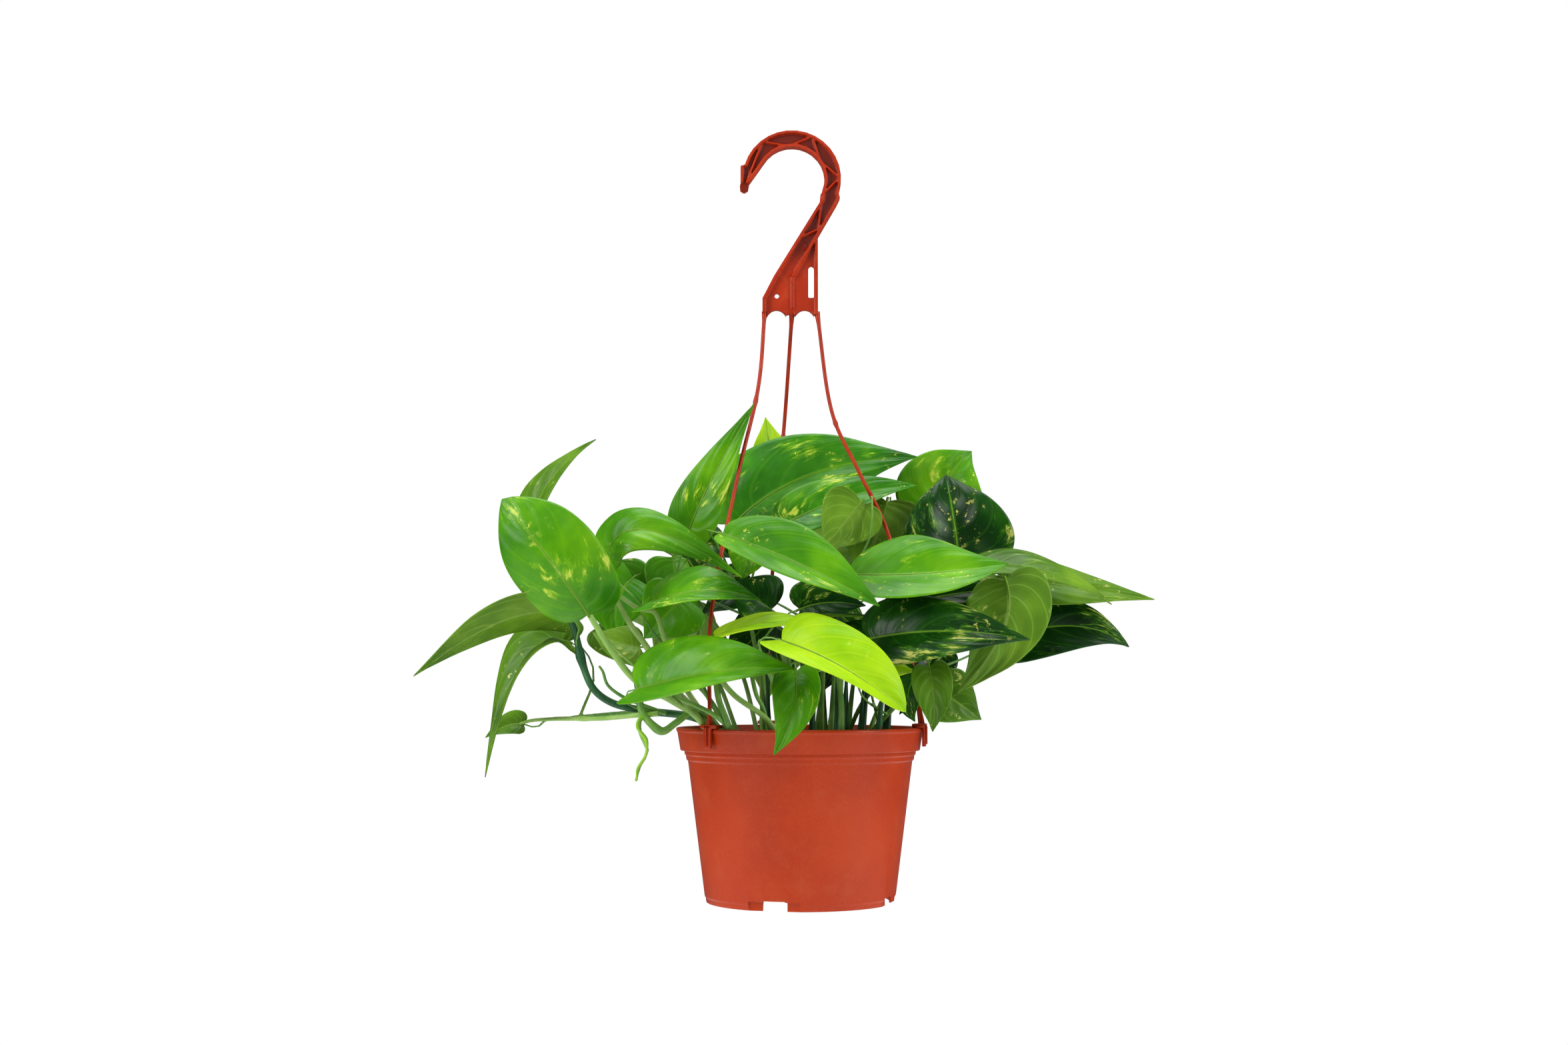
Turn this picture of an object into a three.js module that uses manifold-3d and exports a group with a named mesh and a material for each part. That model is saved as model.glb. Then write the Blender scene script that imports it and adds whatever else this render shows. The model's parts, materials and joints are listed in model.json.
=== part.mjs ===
// Golden pothos in a round plastic hanging pot. Millimetres, +Z up, front towards -Y.
// The origin is the bearing point inside the top of the hook.
import * as THREE from "three";
import { mergeVertices } from "three/addons/utils/BufferGeometryUtils.js";
import Module from "manifold-3d";

// Driving dimensions
const rimRadius = 76.2; // outside of the rim band at its top
const potHeight = 106; // rim top to the foot
const footRadius = 58; // outside of the pot at its foot
const bandHeight = 14; // rim band
const wallThickness = 2.2;
const soilDepth = 12; // soil surface below the rim top
const hookHeight = 364; // rim top to the hook's bearing point
const hookOffset = 5; // pot axis beside the hook's bearing point
const hookRadius = 20.6; // inside of the hook
const hookArm = 10.4; // inside to outside of the hook
const flangeDepth = 8; // hanger's flanges, front to back
const strandRadius = 1.2;
const floorLift = 7; // underside of the pot's floor above its foot
const stemRadius = 2;
const petioleRadius = 1.15;
const leafThickness = 1.2;
const fitGap = 0.3; // between touching pieces

// Sizes that follow from them
const bodyTopRadius = rimRadius * 0.908;
const bandFootRadius = rimRadius * 0.965;
const layoutScale = rimRadius / 76.2; // a wider pot carries a larger plant
const floorTop = floorLift + wallThickness - potHeight;
const hookCentre = [-hookOffset, hookHeight - hookRadius]; // X and Z from the rim's centre
const clipAngles = [-45, 76, 196]; // degrees from the front, towards +X
const notchWidth = 15; // foot notches that let water out, and the shallow recess around each
const recessWidth = 32;
const notchTurn = -16; // degrees from the front to the first notch
const drainRadius = 3.5;

const wasm = await Module();
wasm.setup();

// ---------- solids ----------

function toSolid(geometry) {
  const bare = geometry.index ? geometry.toNonIndexed() : geometry.clone();
  bare.deleteAttribute("normal");
  bare.deleteAttribute("uv");
  const merged = mergeVertices(bare, 1e-4);
  return new wasm.Manifold(new wasm.Mesh({
    numProp: 3,
    vertProperties: new Float32Array(merged.attributes.position.array),
    triVerts: new Uint32Array(merged.index.array),
  }));
}

function toGeometry(solid) {
  const mesh = solid.getMesh();
  const geometry = new THREE.BufferGeometry();
  geometry.setAttribute("position", new THREE.BufferAttribute(new Float32Array(mesh.vertProperties), 3));
  geometry.setIndex(Array.from(mesh.triVerts));
  return geometry;
}

function union(solids) {
  let result = solids[0];
  for (const solid of solids.slice(1)) {
    result = result.add(solid);
  }
  return result;
}

// A flat outline in X and Z, with thickness along Y.
function plate(points, thickness, holes = []) {
  const shape = new THREE.Shape(points.map(([x, z]) => new THREE.Vector2(x, z)));
  for (const hole of holes) {
    shape.holes.push(new THREE.Path(hole.map(([x, z]) => new THREE.Vector2(x, z))));
  }
  const geometry = new THREE.ExtrudeGeometry(shape, { depth: thickness, bevelEnabled: false });
  geometry.rotateX(Math.PI / 2);
  geometry.translate(0, thickness / 2, 0);
  return toSolid(geometry);
}

// A strip that follows a line of points in X and Z, with its own width and depth.
function rib(points, width, depth) {
  const left = [];
  const right = [];
  for (let i = 0; i < points.length; i++) {
    const before = points[Math.max(0, i - 1)];
    const after = points[Math.min(points.length - 1, i + 1)];
    const along = new THREE.Vector2(after[0] - before[0], after[1] - before[1]).normalize();
    const side = new THREE.Vector2(-along.y, along.x).multiplyScalar(width / 2);
    left.push([points[i][0] + side.x, points[i][1] + side.y]);
    right.unshift([points[i][0] - side.x, points[i][1] - side.y]);
  }
  return plate([...left, ...right], depth);
}

function box(width, depth, height, x, y, z) {
  return toSolid(new THREE.BoxGeometry(width, depth, height).translate(x, y, z));
}

function arc(centreX, centreZ, radius, fromDegrees, toDegrees, steps) {
  const points = [];
  for (let i = 0; i <= steps; i++) {
    const angle = THREE.MathUtils.degToRad(fromDegrees + ((toDegrees - fromDegrees) * i) / steps);
    points.push([centreX + radius * Math.cos(angle), centreZ + radius * Math.sin(angle)]);
  }
  return points;
}

function vector([x, y, z]) {
  return new THREE.Vector3(x, y, z).multiplyScalar(layoutScale);
}

// A round rod with closed ends along a smooth line, thinner towards its end.
function rod(points, startRadius, endRadius, rings, sides) {
  const curve = new THREE.CatmullRomCurve3(points, false, "centripetal");
  const frames = curve.computeFrenetFrames(rings, false);
  const positions = [];
  const index = [];
  for (let i = 0; i <= rings; i++) {
    const centre = curve.getPointAt(i / rings);
    const radius = startRadius + ((endRadius - startRadius) * i) / rings;
    for (let j = 0; j < sides; j++) {
      const angle = (2 * Math.PI * j) / sides;
      const point = centre.clone();
      point.addScaledVector(frames.normals[i], radius * Math.cos(angle));
      point.addScaledVector(frames.binormals[i], radius * Math.sin(angle));
      positions.push(point.x, point.y, point.z);
    }
  }
  const ringStart = (i) => i * sides;
  for (let i = 0; i < rings; i++) {
    for (let j = 0; j < sides; j++) {
      const a = ringStart(i) + j;
      const b = ringStart(i) + ((j + 1) % sides);
      index.push(a, b, b + sides, a, b + sides, a + sides);
    }
  }
  const first = positions.length / 3;
  const start = curve.getPointAt(0);
  const end = curve.getPointAt(1);
  positions.push(start.x, start.y, start.z, end.x, end.y, end.z);
  for (let j = 0; j < sides; j++) {
    const k = (j + 1) % sides;
    index.push(first, k, j);
    index.push(first + 1, ringStart(rings) + j, ringStart(rings) + k);
  }
  const geometry = new THREE.BufferGeometry();
  geometry.setAttribute("position", new THREE.Float32BufferAttribute(positions, 3));
  geometry.setIndex(index);
  return toSolid(geometry);
}

// ---------- pot ----------

function potProfile() {
  const bandFoot = -bandHeight;
  const footTop = 3 - potHeight;
  const innerTop = bodyTopRadius - wallThickness;
  const innerFoot = footRadius - wallThickness;
  return [
    [0, floorLift - potHeight],
    [footRadius - 6, floorLift - potHeight],
    [footRadius - 4, floorLift - 3 - potHeight],
    [footRadius - 3.5, -potHeight],
    [footRadius - 0.6, -potHeight],
    [footRadius - 0.2, footTop],
    [footRadius + 0.4, footTop + 0.8],
    [bodyTopRadius - 0.3, -20.4],
    [bodyTopRadius + 0.7, -19.6],
    [bodyTopRadius + 1, bandFoot - 3],
    [bodyTopRadius + 1.8, bandFoot - 2.4],
    [bodyTopRadius + 1.9, bandFoot],
    [bandFootRadius, bandFoot],
    [rimRadius - 0.7, -2.8],
    [rimRadius, -1.8],
    [rimRadius, -0.6],
    [rimRadius - 0.8, 0],
    [rimRadius - wallThickness, 0],
    [rimRadius - wallThickness - 0.7, -0.7],
    [bandFootRadius - wallThickness, bandFoot + 0.6],
    [innerTop, bandFoot - 2.4],
    [innerFoot + 0.6, floorTop + 2.8],
    [innerFoot - 2, floorTop],
    [0, floorTop],
  ];
}

function makePot() {
  const profile = potProfile().map(([r, z]) => new THREE.Vector2(r, z));
  const geometry = new THREE.LatheGeometry(profile, 40);
  geometry.rotateX(Math.PI / 2);
  let pot = toSolid(geometry);
  for (let i = 0; i < 4; i++) {
    const angle = THREE.MathUtils.degToRad(notchTurn + 90 * i);
    const notch = new THREE.BoxGeometry(notchWidth, 12, 12);
    notch.translate(0, -footRadius + 2, -potHeight);
    notch.rotateZ(angle);
    pot = pot.subtract(toSolid(notch));
    const recess = new THREE.BoxGeometry(recessWidth, 4, 7);
    recess.translate(0, -footRadius - 0.6, -potHeight);
    recess.rotateZ(angle);
    pot = pot.subtract(toSolid(recess));
  }
  for (let i = 0; i < 6; i++) {
    const angle = THREE.MathUtils.degToRad(60 * i + 10);
    const drain = new THREE.CylinderGeometry(drainRadius, drainRadius, wallThickness * 3, 10);
    const ring = footRadius * 0.7;
    drain.rotateX(Math.PI / 2);
    drain.translate(ring * Math.sin(angle), -ring * Math.cos(angle), floorTop - wallThickness / 2);
    pot = pot.subtract(toSolid(drain));
  }
  return toGeometry(pot);
}

// ---------- soil ----------

function makeSoil(sockets) {
  const bottom = floorTop + fitGap;
  const innerFoot = footRadius - wallThickness;
  const innerTop = bodyTopRadius - wallThickness;
  const wallAt = (z) => {
    const low = floorTop + 2.8;
    const high = -bandHeight - 2.4;
    return innerFoot + 0.6 + ((innerTop - innerFoot - 0.6) * (z - low)) / (high - low);
  };
  const side = -soilDepth - 5;
  const profile = [
    [0, bottom],
    [innerFoot - 2.6, bottom],
    [wallAt(floorTop + 2.8) - fitGap - 0.2, floorTop + 3.2],
    [wallAt(side) - fitGap - 0.2, side],
    [wallAt(side) - 4, -soilDepth - 1],
    [bodyTopRadius * 0.6, -soilDepth + 1.5],
    [bodyTopRadius * 0.3, -soilDepth + 0.5],
    [0, -soilDepth + 2],
  ];
  const geometry = new THREE.LatheGeometry(profile.map(([r, z]) => new THREE.Vector2(r, z)), 36);
  geometry.rotateX(Math.PI / 2);
  let soil = toSolid(geometry);
  for (const socket of sockets) {
    const holeRadius = stemRadius * 1.15 + fitGap;
    const hole = new THREE.CylinderGeometry(holeRadius, holeRadius, 40, 10);
    hole.rotateX(Math.PI / 2);
    hole.translate(socket.x, socket.y, -soilDepth - 12 - fitGap + 20);
    soil = soil.subtract(toSolid(hole));
  }
  return toGeometry(soil);
}

// ---------- hanger ----------

// The outlines of the hanger are in X and Z about the centre of the hook's arc.
const hookOuter = hookRadius + hookArm;
const plateLeft = -18.4;
const plateRight = 16.4;
const plateFoot = -86.5;

function hookOutline() {
  return [
    ...arc(0, 0, hookOuter, -18, 165, 16),
    [-hookOuter - 1.3, 8.5],
    [-hookOuter - 1.3, -2.5],
    [-hookOuter - 1.8, -4.1],
    [-hookOuter - 1.5, -7.5],
    [1 - hookOuter, -8.9],
    [3.4 - hookOuter, -7.5],
    [4.2 - hookOuter, -2.9],
    ...arc(0, 0, hookRadius, 150, -22, 14),
    [hookRadius - 2, -13.5],
    [-11.4, -62.5],
    [plateLeft, -75.5],
    [plateLeft, plateFoot],
    [plateRight, plateFoot],
    [plateRight, -36.5],
    [hookOuter - 3, -16.5],
    [hookOuter - 0.6, -11.5],
  ];
}

// Edge ribs that stand out in front of and behind the thin web.
function hangerFlanges() {
  const outer = [
    [-hookOuter - 0.3, -2.5],
    [-hookOuter - 0.3, 8.1],
    ...arc(0, 0, hookOuter - 0.9, 164, -18, 16),
    [hookOuter - 1.6, -11.9],
    [hookOuter - 3.9, -16.5],
    [plateRight - 0.8, -36.5],
    [0.4, -62.5],
  ];
  const inner = [
    [3.4 - hookOuter, -2.1],
    ...arc(0, 0, hookRadius + 0.9, 150, -22, 14),
    [hookRadius - 1, -13.5],
    [-10.4, -62.5],
    [plateLeft + 0.9, -76.5],
    [plateLeft + 0.9, plateFoot + 1],
  ];
  return [rib(outer, 1.8, flangeDepth), rib(inner, 1.8, flangeDepth)];
}

// One stiffening rib zigzags between the hook's edges and runs down the neck.
function hangerBraces() {
  const outside = (degrees) => arc(0, 0, hookOuter - 0.6, degrees, degrees, 1)[0];
  const inside = (degrees) => arc(0, 0, hookRadius + 0.6, degrees, degrees, 1)[0];
  const zigzag = [
    [2.4 - hookOuter, -2.5],
    outside(127.5),
    inside(95.7),
    outside(64.7),
    inside(32.7),
    outside(1.7),
    inside(-28.8),
    [plateRight + 0.6, -31.9],
    [4, -37.9],
  ];
  return zigzag.slice(1).map((end, i) => rib([zigzag[i], end], 1.3, flangeDepth - 2));
}

function hangerPlate() {
  const frame = [
    rib([[plateRight - 0.9, -37.5], [plateRight - 0.9, plateFoot]], 1.8, flangeDepth - 2),
    rib([[0.4, -61.9], [0.4, plateFoot + 4]], 1.3, flangeDepth - 3),
    box(12, 4, 4, -9.6, 0, plateFoot),
    box(12, 4, 4, 8, 0, plateFoot),
  ];
  return frame;
}

function hangerCuts() {
  const slot = plate([...arc(12.1, -57.5, 1.8, 0, 180, 10), [10.3, -75.5], [13.9, -75.5]], 20);
  const hole = plate(arc(-9.4, -74.5, 1.5, 0, 330, 11), 20);
  const leftArch = plate([...arc(-9.6, plateFoot - 3.6, 6.4, 0, 180, 14)], 20);
  const rightArch = plate([...arc(8, plateFoot - 3.6, 6.4, 0, 180, 14)], 20);
  return union([slot, hole, leftArch, rightArch]);
}

// Each strand leaves the plate's foot, bows, passes through the foliage and ends on its clip.
// The tallest leaf pushes the back strand away, further where the hanger is shorter.
const backBow = 12 * layoutScale + (364 - hookHeight) * 0.25;
const strands = [
  { top: plateLeft + 1.4, share: 0.44, bow: [3.6, 1.7], through: [[-38.4, -22, 152], [-53.6, -42, 65]] },
  { top: plateRight - 0.6, share: 0.653, bow: [-6.8, 1.6], through: [[36.2, -7, 158], [55, -12, 116]] },
  { top: 0.2, share: 0.62, bow: [0.3, backBow], through: [[-12.5, 42, 162], [-18.5, 60, 80]] },
];

function strandLine(strand, number) {
  const angle = THREE.MathUtils.degToRad(clipAngles[number]);
  const radius = rimRadius - 0.4;
  const foot = new THREE.Vector3(radius * Math.sin(angle), -radius * Math.cos(angle), 2.2);
  const top = new THREE.Vector3(hookCentre[0] + strand.top, 0, hookCentre[1] + plateFoot + 2);
  const through = strand.through.map(vector);
  const bowed = top.clone().lerp(through[0], strand.share);
  bowed.x += strand.bow[0];
  bowed.y += strand.bow[1];
  return [top, bowed, ...through, foot];
}

// A clip that sits over the rim: top bar, outer tab with a fin, and a short inner lip.
function clip(degrees) {
  const angle = THREE.MathUtils.degToRad(degrees);
  const outside = -rimRadius - fitGap;
  const lip = wallThickness + 2.7;
  const parts = [
    new THREE.BoxGeometry(12, lip + 2.5, 2.2).translate(0, outside + lip / 2 - 0.45, 1.1 + fitGap),
    new THREE.BoxGeometry(6, 1.7, 13.5).translate(0, outside - 0.85, -4.55),
    new THREE.BoxGeometry(1.2, 2.6, 11).translate(0, outside - 1.6, -4.4),
    new THREE.BoxGeometry(5, 1.5, 5).translate(0, outside + lip, 0),
  ];
  for (const part of parts) {
    part.rotateZ(angle);
  }
  return union(parts.map(toSolid));
}

function makeHanger() {
  const web = plate(hookOutline(), 2.4);
  const body = union([web, ...hangerFlanges(), ...hangerBraces(), ...hangerPlate()]);
  const cut = body.subtract(hangerCuts()).translate([hookCentre[0], 0, hookCentre[1]]);
  const rods = strands.map(strandLine).map((line) => rod(line, strandRadius, strandRadius, 14, 6));
  const clips = clipAngles.map(clip);
  return toGeometry(union([cut, ...rods, ...clips]));
}

// ---------- leaves ----------

// Half outlines from the stalk to the tip: place along the midrib, then half width.
const heart = [
  [-0.065, 0.14],
  [-0.07, 0.32],
  [0.04, 0.46],
  [0.22, 0.505],
  [0.42, 0.455],
  [0.63, 0.32],
  [0.82, 0.15],
  [0.945, 0.045],
];
const broad = [
  [-0.05, 0.14],
  [-0.045, 0.3],
  [0.05, 0.43],
  [0.24, 0.49],
  [0.46, 0.5],
  [0.68, 0.43],
  [0.85, 0.29],
  [0.955, 0.13],
];
const slender = [
  [-0.01, 0.08],
  [0, 0.2],
  [0.07, 0.35],
  [0.22, 0.47],
  [0.42, 0.5],
  [0.63, 0.4],
  [0.82, 0.21],
  [0.945, 0.07],
];
// Where each outline row meets the midrib.
const midribRows = [0.025, 0.075, 0.155, 0.29, 0.47, 0.67, 0.845, 0.955];

function leafFrame(leaf) {
  const base = vector(leaf.base);
  const tip = vector(leaf.tip);
  const middle = vector(leaf.mid);
  const control = middle.clone().multiplyScalar(2).addScaledVector(base, -0.5).addScaledVector(tip, -0.5);
  const curve = new THREE.QuadraticBezierCurve3(base, control, tip);
  const face = new THREE.Vector3(...leaf.face).normalize();
  const at = (u) => {
    const inside = Math.min(1, Math.max(0, u));
    const along = curve.getTangent(inside).normalize();
    const normal = face.clone().addScaledVector(along, -face.dot(along)).normalize();
    const twist = THREE.MathUtils.degToRad(leaf.twist ?? 0) * (inside - 0.5);
    normal.applyAxisAngle(along, twist);
    const side = new THREE.Vector3().crossVectors(along, normal);
    const point = curve.getPoint(inside);
    point.addScaledVector(along, (u - inside) * base.distanceTo(tip));
    return { point, along, normal, side };
  };
  return at;
}

function leafGeometry(leaf) {
  const at = leafFrame(leaf);
  const outline = leaf.outline ?? heart;
  const fold = leaf.fold ?? [10, 10];
  const curl = leaf.curl ?? 0;
  const width = leaf.width * layoutScale;
  const positions = [];
  const index = [];
  const surface = (row, hand, part) => {
    const along = midribRows[row] + (outline[row][0] - midribRows[row]) * part;
    const frame = at(along);
    const slope = THREE.MathUtils.degToRad(fold[hand < 0 ? 0 : 1] + (curl * part) / 2);
    const reach = outline[row][1] * width * part;
    const bulge = 0.05 * width * outline[row][1] * Math.sin(Math.PI * part);
    const point = frame.point.addScaledVector(frame.side, hand * reach * Math.cos(slope));
    point.addScaledVector(frame.normal, reach * Math.sin(slope) + bulge);
    return { point, normal: frame.normal };
  };
  const put = (spot, lift) => {
    const point = spot.point.clone().addScaledVector(spot.normal, lift);
    positions.push(point.x, point.y, point.z);
  };
  const base = at(0);
  put(base, 0);
  for (let row = 0; row < midribRows.length; row++) {
    const half = (leafThickness / 2) * (row > 6 ? 0.7 : 1);
    const middle = surface(row, 1, 0);
    put(surface(row, -1, 1), 0);
    put(surface(row, -1, 0.5), half * 0.8);
    put(middle, half);
    put(surface(row, 1, 0.5), half * 0.8);
    put(surface(row, 1, 1), 0);
    put(surface(row, 1, 0.5), -half * 0.8);
    put(middle, -half);
    put(surface(row, -1, 0.5), -half * 0.8);
  }
  put(at(1), 0);
  const last = positions.length / 3 - 1;
  for (let j = 0; j < 8; j++) {
    const k = (j + 1) % 8;
    index.push(0, 1 + k, 1 + j);
    for (let row = 0; row + 1 < midribRows.length; row++) {
      const a = 1 + row * 8;
      index.push(a + j, a + 8 + k, a + 8 + j, a + j, a + k, a + 8 + k);
    }
    index.push(last, last - 8 + j, last - 8 + k);
  }
  const geometry = new THREE.BufferGeometry();
  geometry.setAttribute("position", new THREE.Float32BufferAttribute(positions, 3));
  geometry.setIndex(index);
  return geometry;
}

// ---------- vines ----------

// A leaf stalk leaves the stem, bends and meets its blade at the leaf's notch.
function petiole(stem, leaf) {
  const at = leafFrame(leaf);
  const base = at(0);
  const end = base.point.clone().addScaledVector(base.along, -fitGap * 5);
  const start = stem.getPointAt(leaf.from);
  const reach = start.distanceTo(end);
  const points = [start];
  for (const via of leaf.via ?? []) {
    points.push(vector(via));
  }
  if (!leaf.via) {
    const lift = stem.getTangentAt(leaf.from).multiplyScalar(reach * 0.25);
    const bend = start.clone().lerp(end, 0.35).add(lift);
    points.push(bend);
  }
  points.push(end.clone().addScaledVector(base.along, -Math.min(9, reach * 0.25)));
  points.push(end);
  return rod(points, petioleRadius, petioleRadius * 0.6, 7, 5);
}

function vineGeometry(vine) {
  const above = vine.stem.map(vector);
  const levels = [-12, -5, 4];
  const root = levels.map((level) => new THREE.Vector3(above[0].x, above[0].y, level - soilDepth));
  const points = [...root, ...above.slice(1)];
  const stem = new THREE.CatmullRomCurve3(points, false, "centripetal");
  const solids = [rod(points, stemRadius, stemRadius * 0.7, 14, 6)];
  for (const leaf of vine.leaves) {
    solids.push(petiole(stem, leaf));
  }
  for (const shoot of vine.shoots ?? []) {
    solids.push(rod(shoot.map(vector), stemRadius * 0.75, stemRadius * 0.45, 12, 6));
  }
  return toGeometry(union(solids));
}

// Each vine starts in the soil at its first point. A leaf leaves its stem at the fraction `from`;
// base, mid and tip lie on its midrib, and face is the way its upper side looks.

// Front left, trailing over the rim and turning up.
function leftTrailer() {
  return {
    stem: [[-40, -28, -10], [-62, -38, 6], [-95, -44, 11], [-113, -48, 16], [-123, -48, 24], [-130, -46, 40]],
    leaves: [
      { from: 1, base: [-138, -54, 65], mid: [-174, -62, 64], tip: [-226, -66, 31], width: 42,
        face: [0.05, 0.55, 0.85], curl: -10, via: [[-133, -49, 52]] },
      { from: 0.5, base: [-93, -76, 24], mid: [-46, -96, 34], tip: [-3, -92, 35], width: 54,
        face: [-0.05, -0.95, 0.45], fold: [0, 48], curl: -8, via: [[-100, -60, 14]] },
    ],
    shoots: [
      [[-84, -43, 9], [-94, -58, 6], [-93, -66, -4], [-89, -68, -12], [-94, -66, -22], [-96, -64, -30]],
    ],
  };
}

// Left, lower, behind the trailer.
function leftRunner() {
  return {
    stem: [[-44, -4, -10], [-66, -10, 6], [-97, -18, 9], [-139, -14, 6]],
    leaves: [
      { from: 0.96, base: [-141, -24, 52], mid: [-167, -34, 38], tip: [-188, -36, -29], width: 44,
        face: [-0.8, -0.6, 0.6], twist: 20, fold: [25, 25], curl: -10, via: [[-126, -12, 32]] },
      { from: 1, base: [-169, -14, 2], mid: [-179, -16, 1], tip: [-191, -18, -6], width: 17,
        face: [-0.1, -0.9, 0.5], fold: [15, 15], via: [[-154, -14, 5]] },
    ],
  };
}

// Left, climbing to the big leaf at the upper left.
function leftClimber() {
  return {
    stem: [[-36, -46, -8], [-50, -62, 8], [-76, -56, 20]],
    leaves: [
      { from: 1, base: [-124, -72, 67], mid: [-146, -92, 100], tip: [-173, -84, 133], width: 58,
        face: [-0.15, -1, 0.35], twist: 8, fold: [-34, 0], outline: broad, via: [[-104, -54, 42]] },
      { from: 0.9, base: [-98, -20, 49], mid: [-112, -21, 52], tip: [-127, -17, 58], width: 27,
        face: [0, -0.8, 0.5], fold: [5, 5], via: [[-84, -34, 42]] },
    ],
  };
}

// Left of the middle, upright.
function leftUpright() {
  return {
    stem: [[-42, 14, -10], [-58, 8, 20], [-70, 2, 50]],
    leaves: [
      { from: 0.95, base: [-164, -10, 113], mid: [-157, -16, 146], tip: [-126, -12, 177], width: 36,
        face: [-0.7, -0.6, 0.35], fold: [12, 12], via: [[-96, 16, 76], [-146, 6, 86]] },
      { from: 1, base: [-116, -32, 106], mid: [-90, -44, 118], tip: [-35, -38, 90], width: 36,
        face: [-0.3, -0.9, 0.55], fold: [5, 12], curl: -15, via: [[-104, -18, 82]] },
      { from: 0.7, base: [-88, -54, 75], mid: [-54, -72, 81], tip: [-23, -66, 75], width: 46,
        face: [0, -0.75, 0.7], fold: [0, 25], via: [[-90, -40, 60]] },
      { from: 1, base: [-69, -12, 119], mid: [-54, -18, 152], tip: [-28, -22, 198], width: 33,
        face: [-0.2, -1, 0.2], fold: [5, 5], via: [[-76, -6, 84]] },
      { from: 0.9, base: [-104, 4, 92], mid: [-113, -4, 76], tip: [-112, -6, 54], width: 54,
        face: [0, -1, 0.3], fold: [0, 5], via: [[-92, 12, 74]] },
      { from: 0.85, base: [-72, -18, 78], mid: [-83, -22, 67], tip: [-95, -20, 54], width: 44,
        face: [0, -1, 0.3], fold: [5, 5], via: [[-62, -8, 72]] },
    ],
  };
}

// Middle, filling the centre and the top.
function middleClimber() {
  return {
    stem: [[-20, 6, -10], [-26, 4, 40], [-34, 4, 78]],
    leaves: [
      { from: 0.96, base: [-46, -56, 115], mid: [-1, -75, 96], tip: [45, -86, 71], width: 48,
        face: [-0.1, -0.9, 0.5], fold: [0, 40], outline: slender, via: [[-50, -22, 110]] },
      { from: 1, base: [-42, 20, 127], mid: [8, 20, 159], tip: [75, 22, 170], width: 74,
        face: [-0.1, -0.95, 0.35], fold: [0, 10], curl: -5, via: [[-50, 12, 106]] },
      { from: 0.9, base: [-70, 2, 104], mid: [-57, -4, 112], tip: [-42, -2, 104], width: 42,
        face: [0, -0.9, 0.5], fold: [0, 5], via: [[-66, 6, 84]] },
      { from: 1, base: [-30, -12, 114], mid: [-33, -16, 101], tip: [-36, -16, 90], width: 26,
        face: [0, -1, 0.2], fold: [10, 10], via: [[-26, -4, 108]] },
      { from: 0.8, base: [-17, 57, 159], mid: [-19, 54, 178], tip: [-22, 55, 200], width: 32,
        face: [0, -1, 0.2], fold: [20, 20], via: [[-34, 36, 96]] },
      { from: 0.7, base: [-18, -14, 72], mid: [-30, -18, 80], tip: [-43, -18, 88], width: 38,
        face: [0, -0.9, 0.4], fold: [10, 10], via: [[-16, -3, 62]] },
    ],
  };
}

// Right of the middle.
function rightUpright() {
  return {
    stem: [[16, 2, -10], [14, 6, 36], [16, 6, 74]],
    leaves: [
      { from: 0.9, base: [28, -48, 92], mid: [71, -66, 91], tip: [122, -62, 97], width: 58,
        face: [0, -0.85, 0.55], fold: [0, 25], outline: slender, via: [[12, -8, 96], [18, -32, 98]] },
      { from: 1, base: [-6, -4, 127], mid: [34, 3, 144], tip: [73, 6, 150], width: 38,
        face: [0.05, -0.8, 0.6], fold: [5, 15], via: [[-2, -6, 108]] },
      { from: 1, base: [37, -21, 137], mid: [26, -20, 123], tip: [13, -22, 108], width: 40,
        face: [0, 1, 0.3], fold: [10, 10], via: [[42, -18, 114], [44, -21, 138]] },
      { from: 0.95, base: [55, 18, 141], mid: [47, 14, 116], tip: [36, 10, 90], width: 52,
        face: [0.2, 1, 0.1], fold: [10, 10], via: [[52, 26, 112]] },
      { from: 0.7, base: [-8, -36, 65], mid: [30, -43, 67], tip: [66, -52, 62], width: 25,
        face: [0, -0.02, 1], fold: [5, 5], via: [[-6, -26, 56]] },
      { from: 0.8, base: [0, -18, 72], mid: [18, -18, 76], tip: [40, -18, 74], width: 32,
        face: [0, -0.9, 0.3], fold: [10, 10], via: [[4, -10, 60]] },
    ],
  };
}

// Right, reaching out sideways.
function rightReacher() {
  return {
    stem: [[42, 12, -10], [58, 14, 30], [78, 18, 66]],
    leaves: [
      { from: 1, base: [89, 48, 139], mid: [97, 44, 160], tip: [112, 50, 177], width: 60,
        face: [0.1, -1, 0.4], fold: [10, 10], via: [[84, 44, 110]] },
      { from: 1, base: [100, 17, 105], mid: [96, 9, 132], tip: [93, 26, 159], width: 72,
        face: [0, -1, 0.2], fold: [15, 15], via: [[98, 18, 84]] },
      { from: 0.95, base: [124, -8, 92], mid: [166, -10, 86], tip: [217, -14, 78], width: 40,
        face: [0, -0.8, 0.6], fold: [0, 15], curl: -10, via: [[106, 8, 78]] },
      { from: 0.85, base: [108, -28, 97], mid: [147, -33, 95], tip: [187, -36, 74], width: 40,
        face: [0, -0.5, 0.85], fold: [5, 15], curl: -10, via: [[88, -8, 80]] },
      { from: 0.9, base: [121, -58, 87], mid: [118, -60, 56], tip: [93, -43, 21], width: 50,
        face: [0.2, 1, 0.1], fold: [0, 10], via: [[108, -8, 62], [126, -42, 70], [123, -53, 88]] },
    ],
  };
}

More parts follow.
